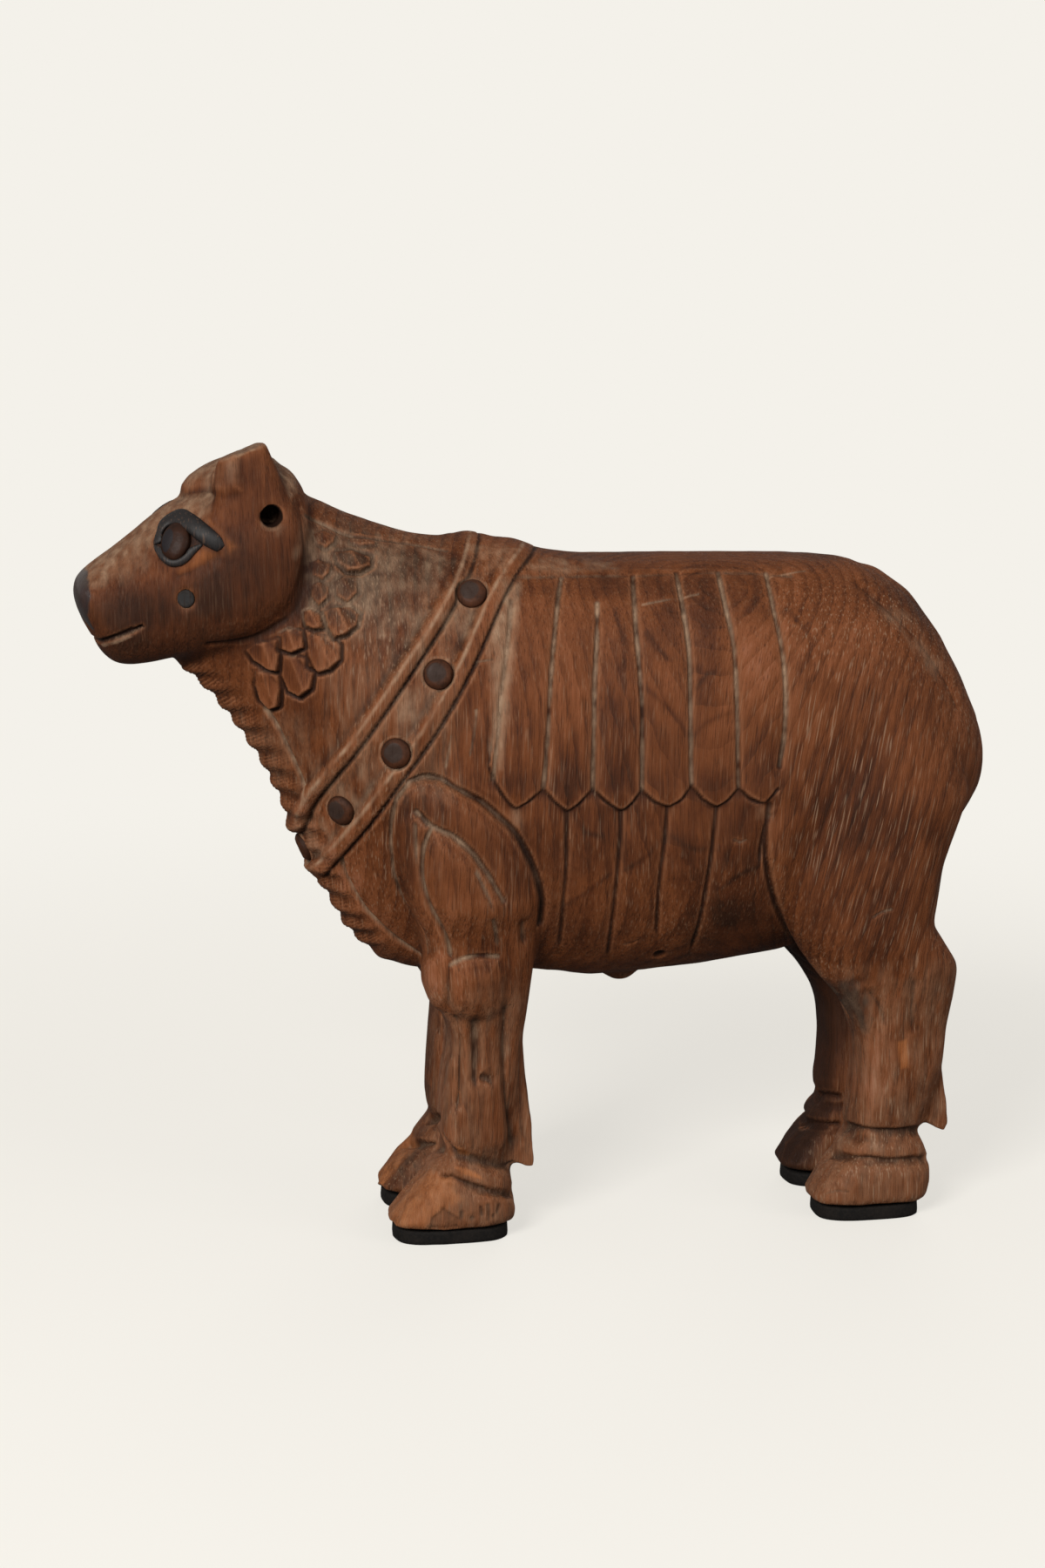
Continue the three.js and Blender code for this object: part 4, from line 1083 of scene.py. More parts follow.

# %% [markdown]
# Broad changes of tone are soft ovals, each with a middle, two half sizes and how much lighter or darker it
# is. Some come from handling and from where the piece stood, such as a dark cheek and a pale dusty neck, and
# the darker belly and lower flank are partly painted shade. Thin dark arcs are the edges of growth rings
# that show on the flank.

# %% Marks: outlines
TONE_AND_SHADE_OVALS = [
    (275, 690, 85, 60, -0.65), (140, 705, 42, 34, -0.7), (150, 750, 55, 16, -0.6),
    (225, 735, 60, 16, -0.3), (335, 560, 22, 45, -0.35), (300, 625, 60, 40, -0.5),
    (235, 625, 40, 24, -0.25), (215, 705, 60, 30, -0.3), (740, 1080, 150, 36, -0.2),
    (640, 1060, 30, 45, -0.3), (870, 1050, 40, 40, -0.4), (385, 640, 45, 50, -0.35),
    (680, 890, 260, 70, -0.22), (740, 990, 190, 60, -0.22), (355, 900, 36, 60, 0.3),
    (545, 1240, 36, 110, -0.15), (700, 800, 34, 80, 0.14), (440, 830, 12, 50, 0.2),
    (500, 740, 14, 40, 0.2), (305, 560, 40, 60, -0.4), (365, 650, 30, 50, -0.4),
    (400, 690, 36, 30, -0.25), (145, 705, 36, 28, -0.3), (250, 722, 45, 16, 0.3),
    (1000, 1250, 24, 60, 0.25), (500, 1200, 14, 90, 0.2), (590, 930, 20, 30, 0.3),
    (350, 940, 30, 30, 0.25), (500, 930, 26, 30, -0.25), (395, 1000, 30, 40, 0.25),
    (500, 1190, 16, 110, 0.28), (1000, 1230, 34, 70, 0.2), (1060, 1050, 24, 80, 0.2),
    (590, 1060, 24, 40, 0.2), (652, 900, 20, 26, -0.4), (714, 900, 20, 30, -0.45),
    (768, 900, 18, 24, -0.3), (823, 900, 18, 20, -0.25), (592, 905, 18, 18, -0.4),
    (690, 672, 95, 14, -0.45), (825, 690, 60, 26, -0.35), (815, 740, 16, 60, -0.25),
    (840, 1048, 24, 16, -0.5), (1010, 940, 50, 45, -0.35), (990, 1060, 60, 60, -0.3),
    (1060, 790, 30, 50, -0.25), (1040, 700, 30, 30, -0.2), (1075, 960, 16, 20, -0.3),
    (425, 1000, 24, 40, -0.15), (470, 990, 14, 60, -0.1), (590, 1020, 14, 40, -0.2),
    (850, 1180, 60, 40, -0.3), (225, 600, 40, 20, 0.25), (235, 640, 22, 14, 0.4),
    (265, 545, 30, 30, -0.12), (150, 640, 60, 34, -0.3), (200, 660, 26, 12, 0.2),
    (450, 680, 90, 60, -0.25), (595, 790, 22, 100, 0.08), (575, 740, 14, 70, 0.35),
    (440, 810, 60, 60, -0.12), (455, 1345, 24, 24, -0.4), (512, 1402, 14, 9, -0.4),
    (568, 1396, 30, 18, -0.35), (1000, 1360, 60, 26, -0.3), (495, 1385, 40, 26, -0.12),
    (264, 530, 16, 28, -0.15), (302, 545, 22, 40, -0.1), (480, 650, 60, 26, -0.35),
    (185, 600, 50, 40, -0.2), (765, 800, 26, 50, 0.15), (870, 770, 26, 50, 0.2),
    (990, 800, 90, 120, -0.12), (995, 1000, 70, 80, -0.1), (1020, 1200, 26, 60, 0.3),
    (990, 1250, 30, 40, 0.15), (500, 1000, 60, 80, -0.08), (495, 1375, 50, 40, 0.22),
    (995, 1345, 70, 50, 0.15), (615, 1310, 18, 30, 0.2),
]
DUSTY_PATCHES = [
    [(400, 605), (440, 612), (520, 626), (516, 672), (470, 745), (430, 735), (415, 690)],
    [(578, 668), (596, 670), (590, 740), (582, 820), (574, 880), (566, 860), (566, 800), (562, 745)],
    [(314, 604), (328, 600), (334, 607), (318, 614)], [(584, 926), (602, 930), (600, 958), (588, 950)],
    [(866, 925), (884, 922), (886, 938), (870, 940)],
    [(206, 552), (250, 530), (272, 516), (276, 556), (256, 562), (215, 563)],
    [(1000, 676), (1030, 686), (1090, 772), (1078, 782), (1010, 700)],
    [(592, 640), (700, 640), (720, 656), (600, 662)],
    [(960, 1300), (1060, 1300), (1066, 1326), (952, 1326)],
    [(120, 640), (190, 588), (206, 560), (218, 570), (190, 606), (172, 645), (150, 680), (122, 668)],
    FRONT_RAIL + BACK_RAIL[::-1], [(330, 600), (352, 585), (352, 640), (338, 640)],
    [(470, 1310), (500, 1290), (512, 1310), (480, 1320)],
]
MANE = [(350, 600), (400, 606), (470, 622), (450, 690), (418, 735), (375, 735), (352, 700)]
RING_EDGES = [
    [(737, 786), (760, 806), (780, 829), (792, 846)], [(796, 845), (812, 829), (846, 816)],
    [(742, 726), (755, 745), (770, 758)], [(652, 1039), (676, 1022), (700, 1004)],
    [(716, 1000), (740, 985), (760, 963)], [(772, 960), (795, 974), (815, 974)],
    [(828, 1020), (850, 1004), (868, 996)], [(660, 935), (672, 955), (690, 960)],
    [(706, 700), (716, 740), (716, 790)], [(905, 700), (930, 735), (925, 790)],
    [(866, 655), (868, 690), (856, 705)], [(800, 790), (812, 775), (822, 772)],
]
NOSE = [
    (84, 690), (84, 668), (92, 654), (101, 655), (104, 668), (103, 690), (101, 706), (106, 722),
    (97, 716), (88, 704),
]
FACET = [
    (488, 1343), (520, 1352), (532, 1378), (520, 1386), (494, 1398), (490, 1412), (440, 1412),
    (446, 1388), (468, 1358),
]
EYE_RIM = [
    [(224, 630), (238, 631), (254, 636), (242, 644), (222, 651), (206, 656), (222, 643)],
    [(234, 592), (248, 604), (262, 620), (272, 628), (262, 634), (256, 618), (244, 604)],
]
# Fresh wood where the feet and the thigh were knocked; the two slivers above the front fetlock's creases are
# painted highlight in the same colour.
FRESH_AND_HIGHLIT = [
    [(1030, 1196), (1042, 1192), (1044, 1226), (1034, 1228)],
    [(516, 1317), (528, 1317), (543, 1325), (540, 1329), (526, 1327)],
    [(520, 1338), (536, 1339), (553, 1349), (556, 1355), (534, 1350)],
]
FAR_TOE, FAR_HOOF = (442, 1352), (464, 1340)
STAIN = [(944, 1124), (982, 1126), (998, 1150), (994, 1184), (974, 1160)]
print("ovals of tone", len(TONE_AND_SHADE_OVALS), "dusty patches", len(DUSTY_PATCHES))

# %% [markdown]
# The tone starts at a middle brown. The ovals, painted shade in the wide hollows with painted light on broad
# rises, and a little chance move it up and down, and painted shade darkens the inner sides of the far legs.

# %% Marks: tone
MID_TONE, OVAL_FALL, OVAL_POWER = 0.5, 0.8, 1.4
LEG_SIDE, LEG_TOP, HIND_HALF = (4, 12), (112, 96), 50

far_hoof = spot_at(FAR_HOOF)
tone = np.full(len(folded), MID_TONE)
for x, y, half_wide, half_tall, amount in TONE_AND_SHADE_OVALS:
    away = ((pixels - [x, y]) / [half_wide, half_tall]) ** 2
    tone += 0.5 * amount * np.exp(-OVAL_FALL * away.sum(axis=1) ** OVAL_POWER)
# Painted shade on the inner and front faces of the far legs, mostly the hind one.
inner_leg_shade = ramp(-skin_normals[:, 1] - 0.9 * skin_normals[:, 0], 0.1, 0.6) * ramp(skin_y, *LEG_SIDE)
inner_leg_shade = inner_leg_shade * under(skin_z, *LEG_TOP)
inner_leg_shade *= np.where(skin_x > HIND_HALF, 1.0, 0.2)
marks["hollow"] = np.maximum(marks["hollow"], 0.85 * inner_leg_shade)
tone -= 0.6 * inner_leg_shade
tone -= 0.3 * near(smooth, far_hoof, 8.0, 26.0)
# Painted shade in wide hollows and painted light on broad rises.
tone = tone - 0.16 * np.clip(wide_bend, -1, 1)
mark("tone", tone + 0.10 * lumps(skin_points, 20.0, 36) + 0.06 * lumps(skin_points, 7.0, 37))
print("mean tone", round(float(marks["tone"].mean()), 3))

# %% [markdown]
# Dust lies in the cuts, in patches on the neck and back, round the studs and between the tufts, and as a thin
# veil on legs, neck and brow. The deepest cuts get painted shade instead, and so do the rail feet, the step
# under the upper tier, the mouth slit, the knot, the ear bores and the lower sides of the lower tufts. Each
# group of lines has the width of its band in millimetres and its share.

# %% Marks: dust, and painted shade in the cuts
DUSTY_LINES = {
    "upper": (0.95, 0.85), "lower": (1.2, 0.2), "leaf": (1.2, 0.8), "chest": (1.1, 0.7), "knee": (1.0, 0.75),
    "neck": (1.3, 1.15), "shank": (2.0, 0.35), "shoulder": (1.5, 0.35), "fetlock": (1.6, 0.3),
    "back": (1.6, 0.3), "shoulder_left": (1.2, 0.6), "crest": (1.2, 0.5), "folds": (1.1, 0.6),
    "scratch": (0.6, 0.5), "rail": (0.9, 0.75), "hoof": (1.2, 0.4), "far": (1.5, 0.4),
}
SHADED_LINES = {
    "scallop": (0.7, 0.62), "lower": (0.7, 0.35), "rail_foot": (1.0, 0.5), "mouth": (1.0, 1.0),
    "jaw": (1.2, 0.35), "fetlock": (1.2, 0.35), "hoof": (0.8, 0.4), "flank": (1.3, 0.35),
}
THICK_PATCH, SMALL_TUFTS = 1, 5
DUST_GAP, DUST_RING, EAR_BORE = 0.7, 0.5, (7.0, 9.0)

dust = bands(DUSTY_LINES) * patchy
dust *= 1 - 0.35 * ramp(photo_y, 740, 860) * ramp(photo_x, 560, 580)
# Painted shade in the deep cuts, the mouth slit and the knot hole.
crack = np.maximum(bands(SHADED_LINES), band("shoulder", 1.3) * ramp(photo_y, 930, 965))
crack = np.maximum(crack, 1.1 * shown(MOUTH_SLIT, -0.2, 0.5, 6.0))
crack = np.maximum(crack, near(folded, knot_place, 1.0, 3.2)) * (0.8 + 0.35 * lumps(skin_points, 5.0, 35))
clumps = lumps(skin_points, 6.0, 33)
for number, patch in enumerate(DUSTY_PATCHES):
    strength = 0.6 + 0.15 * clumps if number == THICK_PATCH else 0.21 + 0.21 * clumps
    dust = np.maximum(dust, shown(patch, -4, 4) * (0.4 + streaky) * strength)
cells = np.zeros(len(folded))
for tuft in TUFTS:
    d = plate(tuft, pixels, TUFT_MARGIN)
    cells = np.maximum(cells, seen_side * np.clip(1 - np.abs(d + 0.5) / 1.0, 0, 1))
dust = np.maximum(dust, cells * patchy * under(photo_y, 760, 690) * (0.2 + 0.5 * ramp(photo_y, 670, 700)))
on_tuft = np.max([ramp(plate(t, pixels, TUFT_MARGIN), -0.6, 0.8) for t in TUFTS[SMALL_TUFTS:]], axis=0)
dust = np.maximum(dust, 0.42 * shown(MANE, -4, 4) * (1 - on_tuft) * patchy)
# Painted shadow on the lower sides of the lower tufts.
crack = np.maximum(crack, 0.8 * gaps * ramp(photo_y, 700, 745))
for node in INSETS:
    if "stud" in node:
        off_ring = (beside_peg(skin_points, node) - DUST_GAP) / DUST_RING
        dust = np.maximum(dust, 0.5 * patchy * np.exp(-off_ring ** 2))
# Painted shade on the walls inside the ear bores.
for side in (-1, 1):
    out = np.array([0.0, side, 0.3]) / math.hypot(1, 0.3)
    bored = near(skin_points, EAR_SOCKET * [1, side, 1], *EAR_BORE)
    crack = np.maximum(crack, 1.3 * bored * (1 - ramp(skin_normals @ out, 0.35, 0.75)))
legs = under(skin_z, 125, 95)
head = ramp(-skin_x, 84, 104) * ramp(skin_z, 205, 225)
neck = ramp(-skin_x, 25, 45) * ramp(skin_z, 165, 190) * (1 - head)
brow = head * ramp(skin_normals[:, 2], 0.3, 0.75)
veil = np.max([0.18 * legs, 0.15 * neck, 0.42 * brow], axis=0)
dust = np.maximum(dust, veil * (0.35 + streaky))
dust = np.maximum(dust, 0.7 * shown(LOWER_LIP, -0.3, 0.5, 6.0) * patchy)
mark("dust", dust * (1 - inner_leg_shade))
mark("crack", crack)
print("share of the skin under dust", round(float((marks["dust"] > 0.5).mean()), 3))

# %% [markdown]
# Old black paint is left round the eyes and on the nose. Knocks show fresher wood on the feet, and the
# same colour paints highlight on two slivers above the front fetlock's creases. A dark stain is on the
# thigh. Weather has opened the grain most on the rump, the neck and the legs.

# %% Marks: paint, fresh wood with painted highlight, and weather
traced["ring"], tails["ring"] = [trace(r) for r in RING_EDGES], 0.0
mark("ring", band("ring", 1.1) * (0.7 + 0.4 * lumps(skin_points, 6.0, 38)))
ink = shown(LID_SHADE, -0.3, 0.4, 5.0)
for node in ("eye_left", "eye_right"):
    ink = np.maximum(ink, 1 - ramp(beside_peg(skin_points, node), 0.8, 2.2))
mark("ink", ink * (0.9 + 0.3 * lumps(skin_points, 2.5, 39)))
ragged = 1.2 * lumps(skin_points, 3.0, 40)
muzzle = ramp(-skin_x + ragged, 179.0, 181.5) * ramp(skin_z, 250, 258)
muzzle = np.maximum(ramp(plate(NOSE, pixels, 6.0) + ragged, -0.4, 1.0), muzzle)
mark("nose", muzzle * ramp(-skin_x, 168, 172))
# Fresh wood, with painted highlight on the fetlock slivers.
fresh = np.max([shown(f, -0.5, 1.0, 4.0) for f in FRESH_AND_HIGHLIT], axis=0)
fresh = np.maximum(fresh, np.max([0.5 * shown(f, -2.0, 2.5, 8.0) for f in EYE_RIM], axis=0))
fresh = np.maximum(fresh, 0.6 * shown(FACET, -1.5, 2.0, 6.0))
fresh = np.maximum(fresh, 0.8 * near(smooth, spot_at(FAR_TOE), 3.0, 5.5))
mark("fresh", fresh * (0.4 + 0.7 * streaky))
mark("stain", shown(STAIN, -2.5, 2.5, 8.0) * (0.5 + streaky))
mark("foot", under(skin_z, 40, 26) * (1 - inner_leg_shade) * (1 - 0.7 * near(smooth, far_hoof, 14.0, 30.0)))
weather = 0.35 + 0.6 * ramp(skin_x, 70, 130) + 0.3 * under(skin_z, 120, 60)
weather += 0.35 * ramp(-skin_x, 30, 60)
weather *= 1 - 0.75 * head
mark("weather", weather * (1 - inner_leg_shade) * (0.75 + 0.6 * lumps(skin_points, 25.0, 42)))
print("marks", sorted(marks))

# %% [markdown]
# ## The hide in lengths
# A skin this fine has too many faces for one piece, so it is parted like a body on a bench: head, neck,
# shoulders, flanks, rump, forelegs and hindlegs. Flat cuts part it, each part gets a flat end inside the
# wood, and each keeps the directions of the whole skin at the cuts, so that no seam shows.

# %% The hide in lengths
LENGTH_CUTS, LEG_CUT, LEG_MIDDLE = [-86.0, -20.0, 50.0, 116.0], 96.0, 40.0
PARTS = [
    "hide_head", "hide_neck", "hide_shoulders", "hide_flanks", "hide_rump",
    "hide_forelegs", "hide_hindlegs",
]
FORELEGS, HINDLEGS = 5, 6
CUT_GAP = 1e-7


def cut_flat(mesh, cuts):
    """Splits a mesh's faces along flat cuts, each an axis and a place, with all attributes kept."""
    def split(work):
        """Cuts each face that a plane crosses, and parts faces of more than four corners in triangles."""
        for axis, place in cuts:
            way = Vector([float(i == axis) for i in range(3)])
            everything = work.verts[:] + work.edges[:] + work.faces[:]
            spot = way * place * MM
            bmesh.ops.bisect_plane(work, geom=everything, dist=CUT_GAP, plane_co=spot, plane_no=way)
        bmesh.ops.triangulate(work, faces=[f for f in work.faces if len(f.verts) > 4])
    edit_mesh(mesh, split)


def close_ends(work):
    """Closes each open end of a part with one flat face."""
    bmesh.ops.holes_fill(work, edges=[e for e in work.edges if e.is_boundary], sides=0)


def hide_part(number, name):
    """One part of the hide: its faces with only the points they use, closed by a flat face over each end."""
    chosen = part_of[face_of] == number
    used, again = np.unique(corners[chosen], return_inverse=True)
    ends = np.cumsum(sizes[part_of == number])[:-1]
    part = mesh_object(name, all_points[used] * MM, [tuple(f) for f in np.split(again, ends)])
    for layer, values in layers.items():
        keep_values(part.data, layer, values[used])
    edit_mesh(part.data, close_ends)
    part.data.normals_split_custom_set_from_vertices(all_normals[used].astype(np.float32))
    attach(part, "root")
    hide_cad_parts("carved_body")
    return part


bpy.data.objects.remove(hide)
for name, values in marks.items():
    keep_values(skin, name, values)
cut_flat(skin, [(0, x) for x in LENGTH_CUTS] + [(2, LEG_CUT)])
all_points, all_normals = get_points(skin), get_normals(skin)
layers = {name: fetch(skin.attributes[name].data, "value") for name in marks}
sizes = fetch(skin.polygons, "loop_total", np.int32)
corners = fetch(skin.loops, "vertex_index", np.int32)
face_of = np.repeat(np.arange(len(sizes)), sizes)
centre = np.stack([np.bincount(face_of, weights=all_points[corners, axis]) for axis in range(3)], axis=1)
centre = centre / sizes[:, None]
leg = np.where(centre[:, 0] < LEG_MIDDLE, FORELEGS, HINDLEGS)
part_of = np.where(centre[:, 2] < LEG_CUT, leg, np.digitize(centre[:, 0], LENGTH_CUTS))
hide_parts = [hide_part(number, name) for number, name in enumerate(PARTS)]
for part in hide_parts:
    part.data.calc_loop_triangles()
    print(part.name, len(part.data.loop_triangles), "triangles")

# %% [markdown]
# ## Old teak
# The block was cut with the heart of the tree running up inside it and leaning towards this flank,
# which is why the growth rings show as pointed arches on the flank. The grain group works that out from
# Object coordinates: rings round that leaning line, thin fibres and pores that run down the wood and sweep
# over the thigh, and broad clouds of colour. It gives values only, and each wood uses them its own way.

# %% Old teak: grain group
HEART = (0.060, -0.015, 0.197)
HEART_LEAN = math.radians(-15.75)
GRAIN_SWEEP, SWEEP_FROM, SWEEP_TO = 0.22, -0.02, 0.06
SWEEP_FLOOR = -0.085
WANDER, RING_SCALE = 0.012, 62.0
GRAIN_VALUES = ("Rings", "Pores", "Clouds", "Fibre", "Speckle")


def grain_group():
    """A node group: rings from the distance to the heart line, fibres and pores drawn out down the wood, and
    clouds of broad noise."""
    group = bpy.data.node_groups.new("teak_grain", "ShaderNodeTree")
    for name in GRAIN_VALUES:
        group.interface.new_socket(name, in_out="OUTPUT", socket_type="NodeSocketFloat")
    add = node_adder(group)

    def shift_by(a, b, operation):
        """Two vectors added, subtracted or multiplied."""
        return add("VectorMath", {0: a, 1: b}, operation=operation).outputs["Vector"]

    def noise(stretch, scale, detail, roughness):
        """Noise whose lumps are drawn out down the wood, and a little into it."""
        drawn = add("Mapping", {"Vector": bent, "Scale": (1.0, 0.6, stretch)}).outputs["Vector"]
        inputs = {"Vector": drawn, "Scale": scale, "Detail": detail, "Roughness": roughness}
        return add("TexNoise", inputs).outputs["Fac"]

    from_heart = shift_by(add("TexCoord").outputs["Object"], HEART, "SUBTRACT")
    x, y, z = add("SeparateXYZ", {"Vector": from_heart}).outputs
    sweep = {"Value": x, "From Min": SWEEP_FROM, "From Max": SWEEP_TO, "To Min": 0.0, "To Max": GRAIN_SWEEP}
    aft = add("MapRange", sweep, interpolation_type="SMOOTHSTEP").outputs["Result"]
    above = add("Math", {0: z, 1: SWEEP_FLOOR}, operation="MAXIMUM").outputs[0]
    swept = add("Math", {0: aft, 1: above}, operation="MULTIPLY").outputs[0]
    swept = add("Math", {0: x, 1: swept}, operation="SUBTRACT").outputs[0]
    along = add("CombineXYZ", {"X": swept, "Y": y, "Z": z}).outputs["Vector"]
    wander = add("TexNoise", {"Vector": along, "Scale": 9.0, "Detail": 1.0}).outputs["Color"]
    shift = shift_by(shift_by(wander, (0.5, 0.5, 0.5), "SUBTRACT"), (WANDER, WANDER, 0.0), "MULTIPLY")
    bent = shift_by(along, shift, "ADD")
    leaned = add("Mapping", {"Vector": bent, "Rotation": (HEART_LEAN, 0.0, 0.0)}).outputs["Vector"]
    ring_sizes = {"Scale": RING_SCALE, "Distortion": 1.6, "Detail": 3.0, "Detail Scale": 2.0}
    rings = add("TexWave", {"Vector": leaned, **ring_sizes}, wave_type="RINGS", rings_direction="Z",
                wave_profile="SAW").outputs["Fac"]
    add("NodeGroupOutput", {
        "Rings": rings, "Pores": noise(0.045, 1700.0, 1.0, 0.5), "Clouds": noise(0.35, 34.0, 2.5, 0.5),
        "Fibre": noise(0.05, 760.0, 5.0, 0.75), "Speckle": noise(0.5, 420.0, 3.0, 0.6)})
    return group


GRAIN = grain_group()
print("grain group outputs", [i.name for i in GRAIN.interface.items_tree])

# %% [markdown]
# The hide's material lays the wood's browns from dark to light by tone, which carries painted shade too,
# clouds and streaks, then puts over it painted shade with grime in hollows, painted shade in deep cuts, and
# the marks of age: pale worn edges and dusty cuts, black paint, grey nose.

# %% Old teak: hide material
BROWNS = [
    (0.0, (44, 22, 10)), (0.3, (74, 37, 16)), (0.55, (101, 55, 27)), (0.78, (121, 70, 41)),
    (1.0, (142, 92, 67)),
]
# The darkest brown is the colour of open pores and of the painted shade in hollows, deep cuts and peg rims.
DUST, SHADE_AND_PORE_DARK, WORN = (156, 128, 103), (36, 19, 10), (132, 84, 55)
INK, NOSE_GREY, FRESH_AND_HIGHLIGHT_BROWN, FOOT_WOOD = (22, 18, 18), (29, 30, 33), (162, 96, 50), (138, 88, 58)
STAIN_BROWN = (42, 32, 27)
FOOT_SHADE = (104, 62, 36)
BUMP_STRENGTH, BUMP_DEPTH, WOOD_SHINE = 0.5, 0.0006, 0.15


def colour_steps(add, value, stops):
    """Colours laid along a value, blended between the given stops."""
    node = add("ValToRGB", {"Fac": value})
    line = node.color_ramp.elements
    line[0].position, line[0].color = stops[0][0], linear(stops[0][1])
    line[1].position, line[1].color = stops[-1][0], linear(stops[-1][1])
    for place, colour in stops[1:-1]:
        line.new(place).color = linear(colour)
    return node.outputs["Color"]


def teak_material():
    """The hide's wood: browns by tone and grain, then each mark, painted shade among them, mixed over them by
    its attribute.
    """
    material, add, mix, span, by = new_material("old_teak")
    grain = add("Group", node_tree=GRAIN).outputs
    at = {n: add("Attribute", attribute_name=n).outputs["Fac"] for n in sorted(marks)}
    rings, pores, clouds, fibre, speckle = (grain[n] for n in GRAIN_VALUES)
    # The tone carries painted shade and light along with the wood's own tone.
    value = by(at["tone"], span(clouds, 0.3, 0.7, -0.17, 0.17), "ADD")
    open_grain = by(span(at["weather"], 0.0, 0.4, 0.2, 0.9), span(at["foot"], 0.0, 1.0, 1.0, 0.5))
    value = by(value, by(span(fibre, 0.3, 0.7, -0.19, 0.19), open_grain), "ADD")
    value = by(value, span(speckle, 0.3, 0.7, -0.05, 0.05), "ADD")
    value = by(value, by(span(rings, 0.5, 1.0, 0.04, -0.16), span(at["weather"], 0.1, 0.35, 0.4, 1.0)), "ADD")
    value = by(value, by(at["ring"], 0.32), "SUBTRACT")
    colour = colour_steps(add, value, BROWNS)
    foot = mix(span(fibre, 0.35, 0.65), linear(FOOT_SHADE), linear(FOOT_WOOD))
    colour = mix(by(at["foot"], 0.45), colour, foot)
    colour = mix(by(at["worn"], span(fibre, 0.3, 0.6, 0.35, 0.85)), colour, linear(WORN))
    # Painted shade with grime in hollows and on the inner sides of the far legs.
    colour = mix(by(at["hollow"], 0.72), colour, linear(SHADE_AND_PORE_DARK))
    colour = mix(by(by(span(pores, 0.60, 0.72), at["weather"]), 0.55), colour, linear(DUST))
    colour = mix(by(span(pores, 0.38, 0.28), span(at["foot"], 0.0, 1.0, 0.45, 0.2)), colour, linear(SHADE_AND_PORE_DARK))
    colour = mix(by(at["stain"], 0.85), colour, linear(STAIN_BROWN))
    colour = mix(by(at["fresh"], span(fibre, 0.3, 0.6, 0.5, 1.0)), colour, linear(FRESH_AND_HIGHLIGHT_BROWN))
    colour = mix(by(span(at["dust"], 0.08, 0.85), span(speckle, 0.35, 0.6, 0.55, 1.0)), colour, linear(DUST))
    # Painted shade in the deep cuts, slits and holes.
    colour = mix(at["crack"], colour, linear(SHADE_AND_PORE_DARK))
    colour = mix(by(at["ink"], span(speckle, 0.25, 0.7, 1.0, 0.7)), colour, linear(INK))
    colour = mix(by(at["nose"], span(clouds, 0.3, 0.65, 1.0, 0.7)), colour, linear(NOSE_GREY))
    height = by(by(span(pores, 0.28, 0.5), 0.7), by(fibre, 1.2), "ADD")
    rough = by(span(clouds, 0.3, 0.7, 0.56, 0.70), by(at["nose"], 0.28), "SUBTRACT")
    nose_shine = {"Coat Weight": by(at["nose"], 0.5), "Coat Roughness": 0.3}
    close_finish(add, colour, rough, height, BUMP_STRENGTH, BUMP_DEPTH, WOOD_SHINE, nose_shine)
    return material


teak = teak_material()
for part in hide_parts:
    part.data.materials.clear()
    part.data.materials.append(teak)
print("hide material", teak.name, len(teak.node_tree.nodes), "nodes")

# %% [markdown]
# ## Pegs, eyes and plugs
# Nine dark pegs with flat worn tops sit in the collar, an oval peg makes each eye, and a grey plug fills
# a small hole in each cheek. Each is turned: a profile carried round its own axis, which was found above
# from how the points of the frame's peg spread. Steps of a profile are a share of the radius and a height
# under the peg's top. The rub with its painted sheen and the rim's painted shade are numbers at each point,
# for the stained wood's material.

# %% Pegs: turned shapes
PEG_ROUNDS, DENT_SIZE = 40, 2.6


def ring_faces(rows, count):
    """Squares between rings of points: each ring has a count of points and is joined to the next one."""
    a = np.arange((rows - 1) * count).reshape(rows - 1, count)
    b = np.roll(a, -1, axis=1)
    return np.stack([a, b, b + count, a + count], axis=-1).reshape(-1, 4).tolist()


def turned(name, peg, profile, wobble, seed):
    """A closed solid from a profile of (radius share, height) carried round a peg's axis, as an oval of the
    peg's two half sizes, with the outer skin dented by small lumps."""
    centre, across, top, axis, low, high = peg
    wide, tall, _ = (high - low) / 2
    radius, height = np.asarray(profile, float).T
    angle = np.linspace(0, 2 * np.pi, PEG_ROUNDS, endpoint=False)
    oval = np.cos(angle)[:, None] * across * wide + np.sin(angle)[:, None] * top * tall
    grid = centre + radius[:, None, None] * oval + height[:, None, None] * axis
    flat = grid.reshape(-1, 3)
    flat = flat + wobble * lumps(flat + seed * 50.0, DENT_SIZE, seed)[:, None] * axis
    points = np.vstack([flat, flat[:PEG_ROUNDS].mean(0), flat[-PEG_ROUNDS:].mean(0)])
    i = np.arange(PEG_ROUNDS)
    j = np.roll(i, -1)
    last_ring = len(flat) - PEG_ROUNDS
    low_end = np.stack([j, i, np.full(PEG_ROUNDS, len(flat))], axis=1)
    high_end = np.stack([last_ring + i, last_ring + j, np.full(PEG_ROUNDS, len(flat) + 1)], axis=1)
    faces = ring_faces(len(profile), PEG_ROUNDS) + low_end.tolist() + high_end.tolist()
    return mesh_object(name, points * MM, faces)


print("a peg has", PEG_ROUNDS, "sides")

# %% [markdown]
# The pegs were stained dark, and handling has left a dull rub on their crowns, where a bluish sheen is
# painted in as well. Their rims are painted with shade, lighter on one side. The eyes are darker and a
# little glossier, and the plugs are grey.

